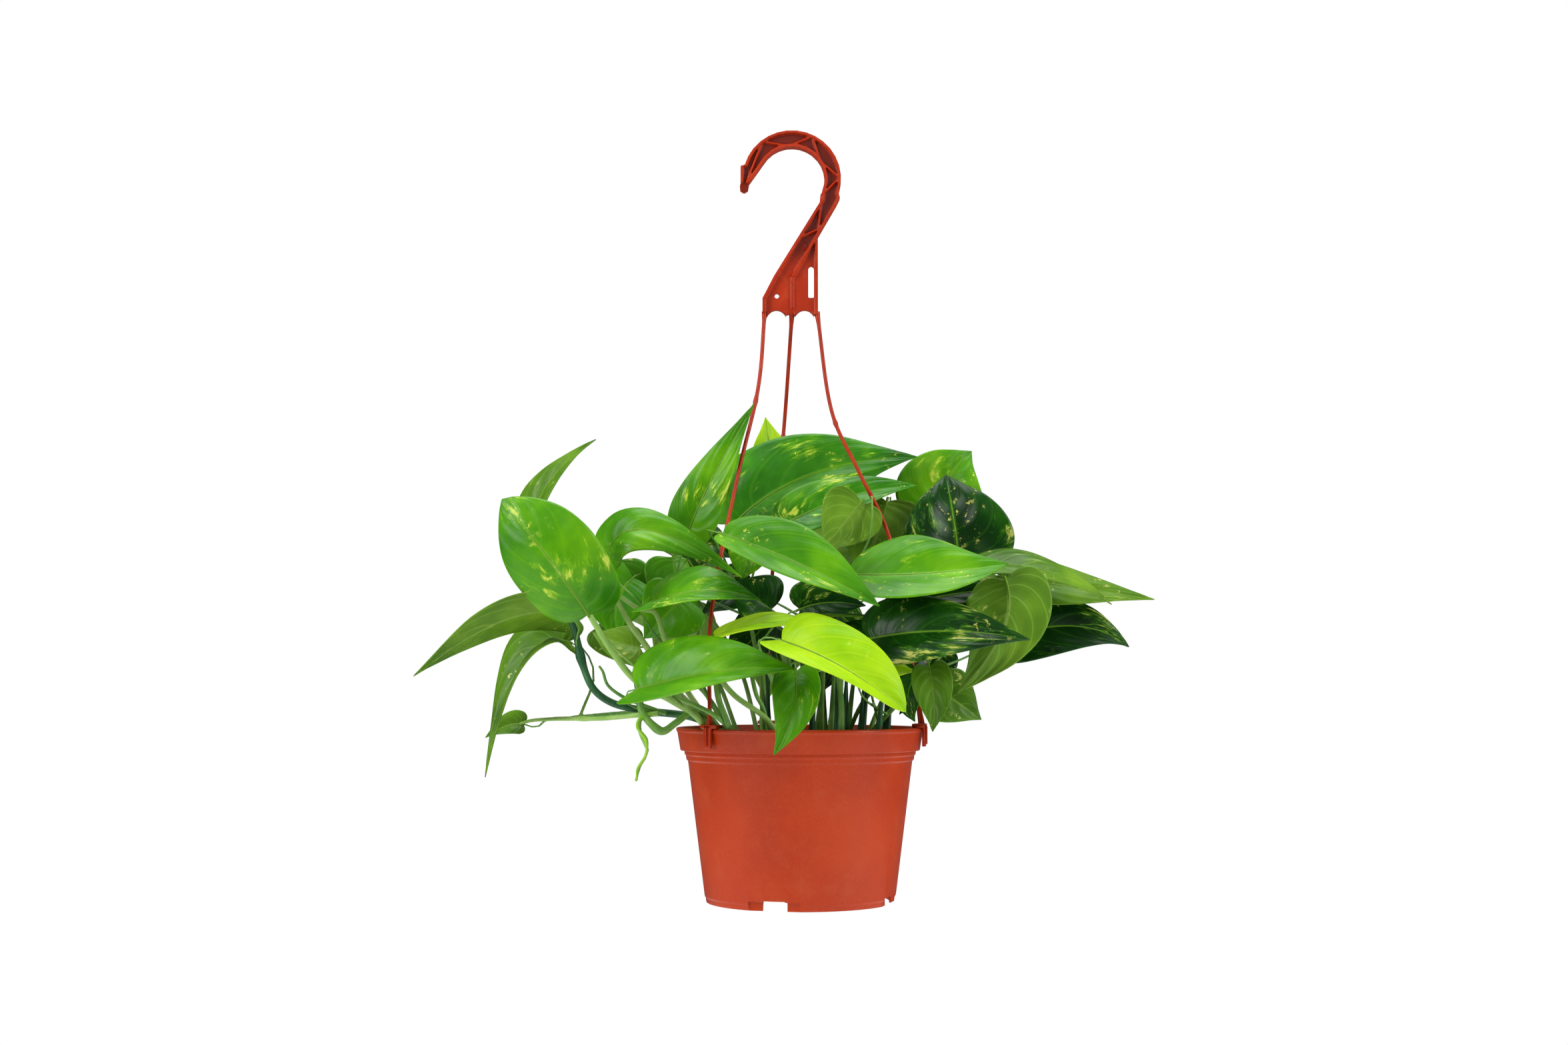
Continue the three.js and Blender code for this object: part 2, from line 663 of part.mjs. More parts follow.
// Right, lower, in front.
function rightRunner() {
  return {
    stem: [[40, -20, -10], [58, -26, 14], [78, -24, 34]],
    leaves: [
      { from: 1, base: [123, -6, 54], mid: [168, -10, 62], tip: [202, -8, 49], width: 42,
        face: [0, -0.95, 0.35], fold: [0, 10], via: [[104, -12, 44]] },
      { from: 0.8, base: [62, -44, 74], mid: [92, -46, 80], tip: [118, -46, 83], width: 34,
        face: [0, -0.9, 0.4], fold: [10, 10], via: [[54, -34, 60]] },
      { from: 0.4, base: [41, -64, 53], mid: [84, -82, 57], tip: [132, -80, 52], width: 48,
        face: [0, -0.9, 0.4], fold: [5, 20], curl: -5, via: [[38, -52, 34]] },
      { from: 0.5, base: [42, -54, 32], mid: [55, -60, 33], tip: [67, -60, 34], width: 26,
        face: [0, -0.5, 0.8], fold: [20, 20], via: [[36, -46, 20]] },
      { from: 0.9, base: [75, -66, 36], mid: [77, -72, 17], tip: [76, -72, -1], width: 24,
        face: [-0.1, -1, 0.2], fold: [10, 10], via: [[84, -46, 45]] },
      { from: 0.9, base: [70, -36, 33], mid: [64, -40, 19], tip: [68, -42, 4], width: 26,
        face: [-0.2, -1, 0.1], fold: [10, 10], via: [[74, -34, 38]] },
      { from: 1, base: [83, -26, 23], mid: [95, -28, 15], tip: [109, -26, 5], width: 36,
        face: [0, -1, 0.3], fold: [5, 5], via: [[80, -24, 32]] },
    ],
  };
}

// Front, hanging towards the viewer.
function frontTrailer() {
  return {
    stem: [[-6, -40, -10], [-12, -56, 16], [-20, -66, 36]],
    leaves: [
      { from: 1, base: [-11, -94, 51], mid: [23, -112, 36], tip: [58, -114, 11], width: 50,
        face: [0.1, -0.95, 0.35], twist: -10, fold: [-5, 52], outline: broad, via: [[-24, -84, 52]] },
      { from: 0.8, base: [-3, -80, 33], mid: [-5, -90, 10], tip: [-16, -92, -14], width: 28,
        face: [-0.1, -1, 0.2], fold: [10, 20], curl: -10, via: [[-8, -68, 34]] },
      { from: 1, base: [-49, -58, 55], mid: [-20, -70, 62], tip: [10, -82, 61], width: 38,
        face: [0, -0.35, 0.95], fold: [10, 10], curl: -10, via: [[-42, -60, 46]] },
      { from: 0.9, base: [44, -40, 54], mid: [24, -40, 53], tip: [2, -38, 49], width: 22,
        face: [0, -0.9, 0.4], fold: [10, 10], via: [[20, -50, 36], [50, -48, 46]] },
    ],
  };
}

// Back, seven leaves that face away.
function backClimber() {
  return {
    stem: [[0, 30, -10], [2, 42, 30], [0, 46, 70]],
    leaves: [
      { from: 0.6, base: [-56, 62, 54], mid: [-78, 86, 58], tip: [-96, 102, 40], width: 58,
        face: [-0.3, 0.9, 0.5], fold: [5, 15], curl: -10, via: [[-34, 54, 44]] },
      { from: 0.5, base: [-14, 78, 50], mid: [-18, 104, 44], tip: [-22, 120, 14], width: 58,
        face: [0, 0.9, 0.5], fold: [10, 10], curl: -10, via: [[-6, 62, 44]] },
      { from: 0.7, base: [48, 74, 54], mid: [78, 94, 52], tip: [102, 106, 24], width: 60,
        face: [0.3, 0.9, 0.5], fold: [10, 5], curl: -10, via: [[24, 58, 54]] },
      { from: 1, base: [-46, 56, 96], mid: [-70, 72, 112], tip: [-104, 76, 122], width: 60,
        face: [-0.2, 0.6, 0.8], fold: [5, 15], via: [[-16, 70, 80]] },
      { from: 1, base: [14, 60, 104], mid: [30, 78, 124], tip: [44, 86, 150], width: 62,
        face: [0.1, 0.9, 0.3], fold: [10, 10], via: [[6, 52, 88]] },
      { from: 0.9, base: [62, 60, 92], mid: [98, 78, 102], tip: [136, 86, 92], width: 56,
        face: [0.2, 0.8, 0.6], fold: [15, 5], via: [[34, 54, 76]] },
      { from: 0.8, base: [-98, 44, 68], mid: [-126, 58, 78], tip: [-156, 64, 68], width: 50,
        face: [-0.2, 0.6, 0.8], fold: [10, 10], via: [[-54, 46, 52]] },
    ],
  };
}

const vines = [
  leftTrailer(),
  leftRunner(),
  leftClimber(),
  leftUpright(),
  middleClimber(),
  rightUpright(),
  rightReacher(),
  rightRunner(),
  frontTrailer(),
  backClimber(),
];

// ---------- materials and the finished group ----------

function plastic(color) {
  return new THREE.MeshStandardMaterial({ color, roughness: 0.45, metalness: 0 });
}

function earth() {
  return new THREE.MeshStandardMaterial({ color: "#3a271a", roughness: 1, metalness: 0 });
}

function stemGreen() {
  return new THREE.MeshStandardMaterial({ color: "#5f9a45", roughness: 0.55, metalness: 0 });
}

function leafGreen(index) {
  const greens = ["#4c9a0e", "#2f7a16", "#1d5c18", "#6ca81c"];
  return new THREE.MeshStandardMaterial({ color: greens[index % 4], roughness: 0.35, metalness: 0 });
}

const plant = new THREE.Group();
plant.position.set(hookOffset, 0, -hookHeight);

function addPiece(name, geometry, material) {
  const mesh = new THREE.Mesh(geometry, material);
  mesh.name = name;
  plant.add(mesh);
}

addPiece("pot", makePot(), plastic("#b8421c"));
addPiece("hanger", makeHanger(), plastic("#b03010"));
addPiece("soil", makeSoil(vines.map((vine) => vector(vine.stem[0]))), earth());

let leafCount = 0;
vines.forEach((vine, number) => {
  addPiece(`vine_${number + 1}`, vineGeometry(vine), stemGreen());
  for (const leaf of vine.leaves) {
    leafCount += 1;
    addPiece(`leaf_${String(leafCount).padStart(2, "0")}`, leafGeometry(leaf), leafGreen(leafCount));
  }
});

const assembly = new THREE.Group();
assembly.add(plant);
export default assembly;
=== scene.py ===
import json
import math
import random

import bmesh
import bpy
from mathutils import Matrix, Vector, noise

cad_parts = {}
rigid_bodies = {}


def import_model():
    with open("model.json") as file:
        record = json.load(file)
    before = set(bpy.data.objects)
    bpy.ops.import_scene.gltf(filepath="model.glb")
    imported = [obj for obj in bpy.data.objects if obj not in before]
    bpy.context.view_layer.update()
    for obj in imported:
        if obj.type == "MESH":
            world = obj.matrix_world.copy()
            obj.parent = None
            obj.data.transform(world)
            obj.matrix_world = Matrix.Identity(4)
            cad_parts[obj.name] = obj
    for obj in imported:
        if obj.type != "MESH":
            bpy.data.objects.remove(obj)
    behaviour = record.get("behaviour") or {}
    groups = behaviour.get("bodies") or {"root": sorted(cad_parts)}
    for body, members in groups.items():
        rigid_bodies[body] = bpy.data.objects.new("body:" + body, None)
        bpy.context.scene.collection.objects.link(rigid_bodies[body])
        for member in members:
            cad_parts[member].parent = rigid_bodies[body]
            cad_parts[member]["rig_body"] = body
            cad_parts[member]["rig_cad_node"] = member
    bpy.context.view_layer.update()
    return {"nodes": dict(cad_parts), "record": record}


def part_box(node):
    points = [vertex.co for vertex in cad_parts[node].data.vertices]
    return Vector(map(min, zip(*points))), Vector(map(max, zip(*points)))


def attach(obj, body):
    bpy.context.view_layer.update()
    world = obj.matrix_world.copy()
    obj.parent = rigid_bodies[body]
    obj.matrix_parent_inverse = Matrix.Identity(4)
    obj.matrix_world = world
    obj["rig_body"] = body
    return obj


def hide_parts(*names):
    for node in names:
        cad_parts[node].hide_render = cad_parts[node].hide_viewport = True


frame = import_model()
mm = 0.001
for cadNode in frame["nodes"].values():
    cadNode.select_set(False)

# the rim's centre, from the imported pot
potLow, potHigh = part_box("pot")
rimCentre = Vector(((potLow.x + potHigh.x) / 2, (potLow.y + potHigh.y) / 2, potHigh.z))
rimRadius = (potHigh.x - potLow.x) / 2
print("frame loaded, rim radius", round(rimRadius * 1000, 1), "mm")


# ---------- camera ----------

cameraPlace = {"from": Vector((-9.9, -1190, 28)) * mm, "pitch": 94.73, "lens": 44.11, "sensor": 36}
bpy.ops.object.camera_add(location=rimCentre + cameraPlace["from"],
                          rotation=(math.radians(cameraPlace["pitch"]), 0, 0))
camera = bpy.context.object
camera.data.lens = cameraPlace["lens"]
camera.data.sensor_width = cameraPlace["sensor"]
bpy.context.scene.camera = camera


# ---------- small helpers ----------

def deselectAll():
    if bpy.context.object and bpy.context.object.mode != "OBJECT":
        bpy.ops.object.mode_set(mode="OBJECT")
    bpy.ops.object.select_all(action="DESELECT")


def makeActive(piece):
    deselectAll()
    piece.select_set(True)
    bpy.context.view_layer.objects.active = piece


def applyModifiers(piece):
    makeActive(piece)
    for modifier in list(piece.modifiers):
        bpy.ops.object.modifier_apply(modifier=modifier.name)


def applyPlace(piece):
    makeActive(piece)
    bpy.ops.object.transform_apply(location=True, rotation=True, scale=True)


def roundEdges(piece, width, segments):
    rounded = piece.modifiers.new("round", "BEVEL")
    rounded.width = width
    rounded.segments = segments
    applyModifiers(piece)


def roundPot(radius, turn, height):
    # a place on a circle about the pot's axis, turned from the front
    return rimCentre + Vector((radius * math.sin(turn), -radius * math.cos(turn), height))


def joinPieces(pieces, name):
    deselectAll()
    for piece in pieces:
        piece.select_set(True)
    bpy.context.view_layer.objects.active = pieces[0]
    if len(pieces) > 1:
        bpy.ops.object.join()
    pieces[0].name = name
    pieces[0].data.name = name
    return pieces[0]


def smooth(piece, degrees=40):
    makeActive(piece)
    bpy.ops.object.shade_smooth_by_angle(angle=math.radians(degrees))


def between(first, second, start, end, at):
    return first * ((end - at) / (end - start)) + second * ((at - start) / (end - start))


def curveThrough(points, steps):
    # an even line through all the points, without overshooting short spans
    points = [Vector(point) for point in points]
    points = [points[0] * 2 - points[1]] + points + [points[-1] * 2 - points[-2]]
    line = []
    for i in range(1, len(points) - 2):
        p = points[i - 1:i + 3]
        t = [0.0]
        for a, b in zip(p, p[1:]):
            t.append(t[-1] + max(1e-6, (b - a).length) ** 0.5)
        for j in range(steps):
            at = t[1] + (t[2] - t[1]) * j / steps
            a = [between(p[k], p[k + 1], t[k], t[k + 1], at) for k in range(3)]
            b = [between(a[k], a[k + 1], t[k], t[k + 2], at) for k in range(2)]
            line.append(between(b[0], b[1], t[1], t[2], at))
    return line + [points[-2]]


def tube(points, startRadius, endRadius, name, sides=12, bumps=None):
    # a closed round rod along a line; bumps are (share along, extra radius, reach)
    data = bpy.data.curves.new(name, "CURVE")
    data.dimensions = "3D"
    data.bevel_depth = 1
    data.bevel_resolution = max(0, sides // 2 - 2)
    data.use_fill_caps = True
    data.twist_mode = "MINIMUM"
    spline = data.splines.new("POLY")
    spline.points.add(len(points) - 1)
    last = len(points) - 1
    for i, point in enumerate(points):
        share = i / last
        radius = startRadius + (endRadius - startRadius) * share
        for centre, extra, reach in bumps or []:
            radius += extra * math.exp(-((share - centre) / reach) ** 2)
        spline.points[i].co = (*point, 1)
        spline.points[i].radius = radius
    piece = bpy.data.objects.new(name, data)
    bpy.context.scene.collection.objects.link(piece)
    makeActive(piece)
    bpy.ops.object.convert(target="MESH")
    return bpy.context.object


def smoothFinish(piece, material):
    # a rounded piece beyond the CAD's own, which stands in for no node
    makeActive(piece)
    bpy.ops.object.shade_smooth()
    finishPiece(piece, [], material)


def finishPiece(piece, nodes, material):
    if material is not None:
        piece.data.materials.clear()
        piece.data.materials.append(material)
    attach(piece, "root")
    if nodes:
        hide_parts(*nodes)


def mergedCopy(node, name):
    source = frame["nodes"][node]
    piece = source.copy()
    piece.data = source.data.copy()
    piece.name = name
    piece.parent = None
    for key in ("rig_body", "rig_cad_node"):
        if key in piece:
            del piece[key]
    bpy.context.scene.collection.objects.link(piece)
    work = bmesh.new()
    work.from_mesh(piece.data)
    bmesh.ops.remove_doubles(work, verts=work.verts, dist=0.004 * mm)
    work.to_mesh(piece.data)
    work.free()
    piece.data.materials.clear()
    return piece


# ---------- materials ----------

class Nodes:
    # a short way to add nodes and links to one material

    def __init__(self, name):
        self.material = bpy.data.materials.new(name)
        self.material.use_nodes = True
        self.tree = self.material.node_tree
        self.tree.nodes.clear()
        self.output = self.tree.nodes.new("ShaderNodeOutputMaterial")
        self.shader = self.tree.nodes.new("ShaderNodeBsdfPrincipled")
        self.tree.links.new(self.shader.outputs[0], self.output.inputs["Surface"])

    def add(self, kind, **settings):
        node = self.tree.nodes.new(kind)
        for key, value in settings.items():
            setattr(node, key, value)
        return node

    def link(self, source, target):
        self.tree.links.new(source, target)

    def objectPlace(self):
        return self.add("ShaderNodeTexCoord").outputs["Object"]

    def uvPlace(self, layer):
        return self.add("ShaderNodeUVMap", uv_map=layer).outputs["UV"]

    def noise(self, place, scale, detail=3.0, roughness=0.55, distortion=0.0):
        node = self.add("ShaderNodeTexNoise")
        self.link(place, node.inputs["Vector"])
        node.inputs["Scale"].default_value = scale
        node.inputs["Detail"].default_value = detail
        node.inputs["Roughness"].default_value = roughness
        node.inputs["Distortion"].default_value = distortion
        return node.outputs["Fac"]

    def cells(self, place, scale, feature="F1", randomness=1.0):
        node = self.add("ShaderNodeTexVoronoi", feature=feature)
        self.link(place, node.inputs["Vector"])
        node.inputs["Scale"].default_value = scale
        node.inputs["Randomness"].default_value = randomness
        return node.outputs["Distance"]

    def ramp(self, value, stops, smoothly=False):
        node = self.add("ShaderNodeValToRGB")
        node.color_ramp.interpolation = "EASE" if smoothly else "LINEAR"
        elements = node.color_ramp.elements
        while len(elements) < len(stops):
            elements.new(0.5)
        for element, (position, colour) in zip(elements, stops):
            element.position = position
            element.color = (*colour, 1) if len(colour) == 3 else colour
        self.link(value, node.inputs["Fac"])
        return node.outputs["Color"]

    def step(self, value, low, high):
        node = self.add("ShaderNodeMapRange", interpolation_type="SMOOTHSTEP")
        self.link(value, node.inputs["Value"])
        node.inputs["From Min"].default_value = low
        node.inputs["From Max"].default_value = high
        return node.outputs["Result"]

    def math(self, operation, first, second=None):
        node = self.add("ShaderNodeMath", operation=operation)
        for socket, value in ((node.inputs[0], first), (node.inputs[1], second)):
            if value is None:
                continue
            if isinstance(value, (int, float)):
                socket.default_value = value
            else:
                self.link(value, socket)
        return node.outputs[0]

    def mix(self, share, first, second, blend="MIX"):
        node = self.add("ShaderNodeMix", data_type="RGBA", blend_type=blend)
        pairs = ((node.inputs[0], share), (node.inputs[6], first), (node.inputs[7], second))
        for socket, value in pairs:
            if isinstance(value, (int, float)):
                socket.default_value = value
            elif isinstance(value, tuple):
                socket.default_value = (*value, 1)
            else:
                self.link(value, socket)
        return node.outputs[2]

    def tint(self, colour, other, mask, share):
        # the other colour shows by a share wherever the mask is up
        return self.mix(self.math("MULTIPLY", mask, share), colour, other)

    def inverse(self, value):
        return self.math("SUBTRACT", 1.0, value)

    def axes(self, place):
        split = self.add("ShaderNodeSeparateXYZ")
        self.link(place, split.inputs[0])
        return split.outputs

    def bump(self, height, strength, distance, below=None):
        node = self.add("ShaderNodeBump")
        node.inputs["Strength"].default_value = strength
        node.inputs["Distance"].default_value = distance
        self.link(height, node.inputs["Height"])
        if below is not None:
            self.link(below, node.inputs["Normal"])
        return node.outputs["Normal"]

    def set(self, **values):
        for name, value in values.items():
            socket = self.shader.inputs[name.replace("_", " ")]
            if isinstance(value, (int, float, tuple)):
                socket.default_value = value
            else:
                self.link(value, socket)


# ---------- leaves ----------

leafLook = {
    "rows": 44, "columns": 26,          # fine grid along and across one blade
    "thickness": 0.55 * mm,             # the real blade; the CAD solid is thicker
    "usualSize": 60 * mm,               # shorter or narrower blades have shallower relief
    "midribGroove": 0.55 * mm, "grooveReach": 0.07,
    "veinPairs": 7, "veinSweep": 0.34, "veinBend": 1.3,
    "quiltHeight": 0.35 * mm,
    "marginWave": 1.0 * mm, "waveCount": 2.6,
    "fold": 0.22,                       # how far a drawn blade's halves lift, as a share of their width
    "heart": (                          # share along the midrib, where its vein ends, half width
        (0.025, -0.02, 0.14), (0.075, -0.03, 0.32), (0.155, 0.06, 0.46), (0.29, 0.22, 0.505),
        (0.47, 0.42, 0.455), (0.67, 0.63, 0.32), (0.845, 0.82, 0.15), (0.955, 0.945, 0.045)),
}
# leaves seen only in part, deep inside the plant: slot, width, then base, middle and tip of
# the midrib in millimetres from the rim's centre, and the way the blade faces
innerLeaves = {
    "inner_1": ("leaf_green", 44, (-118, 26, 104), (-116, 20, 80), (-108, 16, 54), (0.1, -0.9, 0.4)),
    "inner_2": ("leaf_green", 38, (-80, 22, 106), (-76, 18, 84), (-68, 14, 58), (0.0, -0.95, 0.3)),
    "inner_3": ("leaf_dark", 34, (-30, 24, 92), (-44, 20, 82), (-62, 16, 70), (0.0, -0.8, 0.6)),
    "inner_4": ("leaf_dark", 38, (6, 12, 84), (24, 8, 70), (46, 4, 52), (0.1, -0.8, 0.6)),
    "inner_5": ("leaf_dark", 32, (84, -8, 50), (74, -14, 30), (60, -20, 8), (0.2, -0.95, 0.2)),
    "inner_6": ("leaf_dark", 34, (30, 22, 60), (22, 18, 42), (12, 14, 20), (0.1, -0.95, 0.2)),
    "inner_7": ("leaf_olive", 26, (-126, 10, 62), (-112, 8, 50), (-96, 6, 34), (-0.2, -0.9, 0.4)),
    "inner_8": ("leaf_dark", 34, (-18, 22, 66), (-32, 18, 52), (-48, 14, 32), (-0.1, -0.9, 0.4)),
}
# leaves whose blade is brighter than others of their slot
brighterLeaves = ("leaf_14", "leaf_20")


def ringNumbers(work):
    # numbers every point by its ring, counted from the stalk; the two ends join eight edges
    ends = [v for v in work.verts if len(v.link_edges) == 8]
    if len(ends) > 2:
        ends = sorted(ends, key=lambda v: sum(edge.calc_length() for edge in v.link_edges))[:2]
    level = {ends[0]: 0}
    front = [ends[0]]
    while front:
        following = []
        for vertex in front:
            for edge in vertex.link_edges:
                other = edge.other_vert(vertex)
                if other not in level:
                    level[other] = level[vertex] + 1
                    following.append(other)
        front = following
    count = level[ends[1]]

    def ringCentre(number):
        ring = [v.co for v in level if level[v] == number]
        return sum(ring, Vector((0, 0, 0))) / len(ring)

    # the rings lie closer together near the stalk than near the tip
    fromFirst = (ringCentre(3) - ends[0].co).length
    fromSecond = (ringCentre(count - 3) - ends[1].co).length
    if fromFirst > fromSecond:
        ends.reverse()
        level = {vertex: count - number for vertex, number in level.items()}
    return ends[0].co.copy(), ends[1].co.copy(), level, count


def ringInOrder(level, number):
    # one ring's points, walked from neighbour to neighbour
    ring = [v for v in level if level[v] == number]
    order = [ring[0]]
    while len(order) < len(ring):
        near = [edge.other_vert(order[-1]) for edge in order[-1].link_edges]
        near = [v for v in near if level.get(v) == number and v not in order]
        if not near:
            break
        order.append(near[0])
    return [v.co.copy() for v in order]


def alignedRings(rings):
    # the margins are the widest pair in the widest ring, and keep their place by nearness
    widths = [[(ring[i] - ring[i + 4]).length for i in range(4)] for ring in rings]
    widest = max(range(len(rings)), key=lambda i: max(widths[i]))
    start = max(range(4), key=lambda i: widths[widest][i])
    turned = {widest: rings[widest][start:] + rings[widest][:start]}
    for step in (1, -1):
        number = widest + step
        while 0 <= number < len(rings):
            before = turned[number - step]
            best = None
            for shift in range(8):
                for flip in (1, -1):
                    trial = [rings[number][(shift + flip * k) % 8] for k in range(8)]
                    miss = sum((a - b).length for a, b in zip(trial, before))
                    if best is None or miss < best[0]:
                        best = (miss, trial)
            turned[number] = best[1]
            number += step
    return [turned[i] for i in range(len(rings))]


def readBlade(node):
    # the CAD blade is closed rings of eight points between two end points; this finds
    # each ring's left margin, midrib and right margin again, base first
    piece = mergedCopy(node, "reading_" + node)
    work = bmesh.new()
    work.from_mesh(piece.data)
    baseCo, tipCo, level, count = ringNumbers(work)
    rings = [ringInOrder(level, number) for number in range(1, count)]
    work.free()
    bpy.data.meshes.remove(piece.data)
    # columns: margin, half, midrib, half, margin, taken midway between the two skins
    net = []
    for ring in alignedRings(rings):
        inner = [(ring[i] + ring[8 - i]) / 2 for i in (1, 2, 3)]
        net.append([ring[0], *inner, ring[4]])
    # the upper side bulges between midrib and margin
    lift = 0
    for row in net[1:-1]:
        along = tipCo - baseCo
        normal = (row[4] - row[0]).cross(along).normalized()
        for margin, half in ((row[0], row[1]), (row[4], row[3])):
            lift += (half - (margin + row[2]) / 2).dot(normal)
    if lift < 0:
        net = [row[::-1] for row in net]
    return baseCo, tipCo, net


def throughPoints(points, where):
    # a smooth line through evenly numbered points, read at a fractional number
    last = len(points) - 1
    i = min(int(where), last - 1)
    t = where - i
    p1, p2 = points[i], points[i + 1]
    p0 = points[i - 1] if i > 0 else p1 * 2 - p2
    p3 = points[i + 2] if i + 2 <= last else p2 * 2 - p1
    squared = 2 * p0 - 5 * p1 + 4 * p2 - p3
    cubed = 3 * p1 - p0 - 3 * p2 + p3
    return 0.5 * ((2 * p1) + (p2 - p0) * t + squared * t * t + cubed * t * t * t)


def bladeSurface(baseCo, tipCo, net):
    columns = [[baseCo] + [row[c] for row in net] + [tipCo] for c in range(5)]
    rows = len(net) + 1

    def place(u, v):
        # u runs from the stalk to the tip, v from -1 to 1 across
        across = [throughPoints(column, u * rows) for column in columns]
        return throughPoints(across, (v + 1) * 2)
    return place


def veinShape(u, v, length):
    # lateral veins leave the midrib and sweep towards the tip
    side = abs(v)
    phase = (u - leafLook["veinSweep"] * side ** leafLook["veinBend"]) * leafLook["veinPairs"]
    ridge = math.cos(2 * math.pi * phase)
    fade = math.sin(math.pi * min(1, max(0, u))) ** 0.5 * (1 - side ** 4)
    quilt = leafLook["quiltHeight"] * ridge * fade * min(1, side * 4)
    groove = -leafLook["midribGroove"] * math.exp(-(side / leafLook["grooveReach"]) ** 2) * (1 - u ** 3)
    return (quilt + groove) * min(1, length / leafLook["usualSize"])


def drawnBlade(base, middle, tip, width, face):
    # a heart-shaped blade of the same kind for a leaf that has no CAD node
    base, middle, tip = (rimCentre + Vector(point) * mm for point in (base, middle, tip))
    control = middle * 2 - (base + tip) / 2
    net = []
    for row, along, half in leafLook["heart"]:
        tangent = ((control - base) * (1 - row) + (tip - control) * row).normalized()
        normal = Vector(face)
        normal = (normal - tangent * normal.dot(tangent)).normalized()
        side = tangent.cross(normal)
        line = []
        for share in (-1, -0.5, 0, 0.5, 1):
            t = row + (along - row) * abs(share)
            spot = base * (1 - t) ** 2 + control * 2 * t * (1 - t) + tip * t * t
            lift = abs(share) * leafLook["fold"] + 0.05 * math.sin(math.pi * abs(share))
            line.append(spot + (side * share + normal * lift) * half * width * mm)
        net.append(line)
    return base, tip, net


def buildLeaf(blade, name, seed):
    baseCo, tipCo, net = blade
    place = bladeSurface(baseCo, tipCo, net)
    length = (tipCo - baseCo).length
    width = max((row[4] - row[0]).length for row in net)
    rows, columns = leafLook["rows"], leafLook["columns"]
    bpy.ops.mesh.primitive_grid_add(x_subdivisions=columns, y_subdivisions=rows, size=1, calc_uvs=True)
    leaf = bpy.context.object
    leaf.name = name
    leaf.data.name = name
    draw = random.Random(seed)
    wavePhase = draw.uniform(0, 6)
    waveSize = leafLook["marginWave"] * draw.uniform(0.5, 1.1) * width / leafLook["usualSize"]
    for vertex in leaf.data.vertices:
        v = vertex.co.x * 2
        u = min(1, max(0, vertex.co.y + 0.5))
        point = place(u, v)
        du = place(min(1, u + 0.01), v) - place(max(0, u - 0.01), v)
        dv = place(u, min(1, v + 0.02)) - place(u, max(-1, v - 0.02))
        normal = du.cross(dv)
        normal = -normal.normalized() if normal.length > 0 else Vector((0, 0, 1))
        lift = veinShape(u, v, length)
        wave = math.sin(wavePhase + u * 2 * math.pi * leafLook["waveCount"] + (1.3 if v > 0 else 0))
        lift += waveSize * wave * abs(v) ** 3 * math.sin(math.pi * u)
        vertex.co = point + normal * lift
    leaf.data.uv_layers[0].name = "blade"
    return leaf, place, length


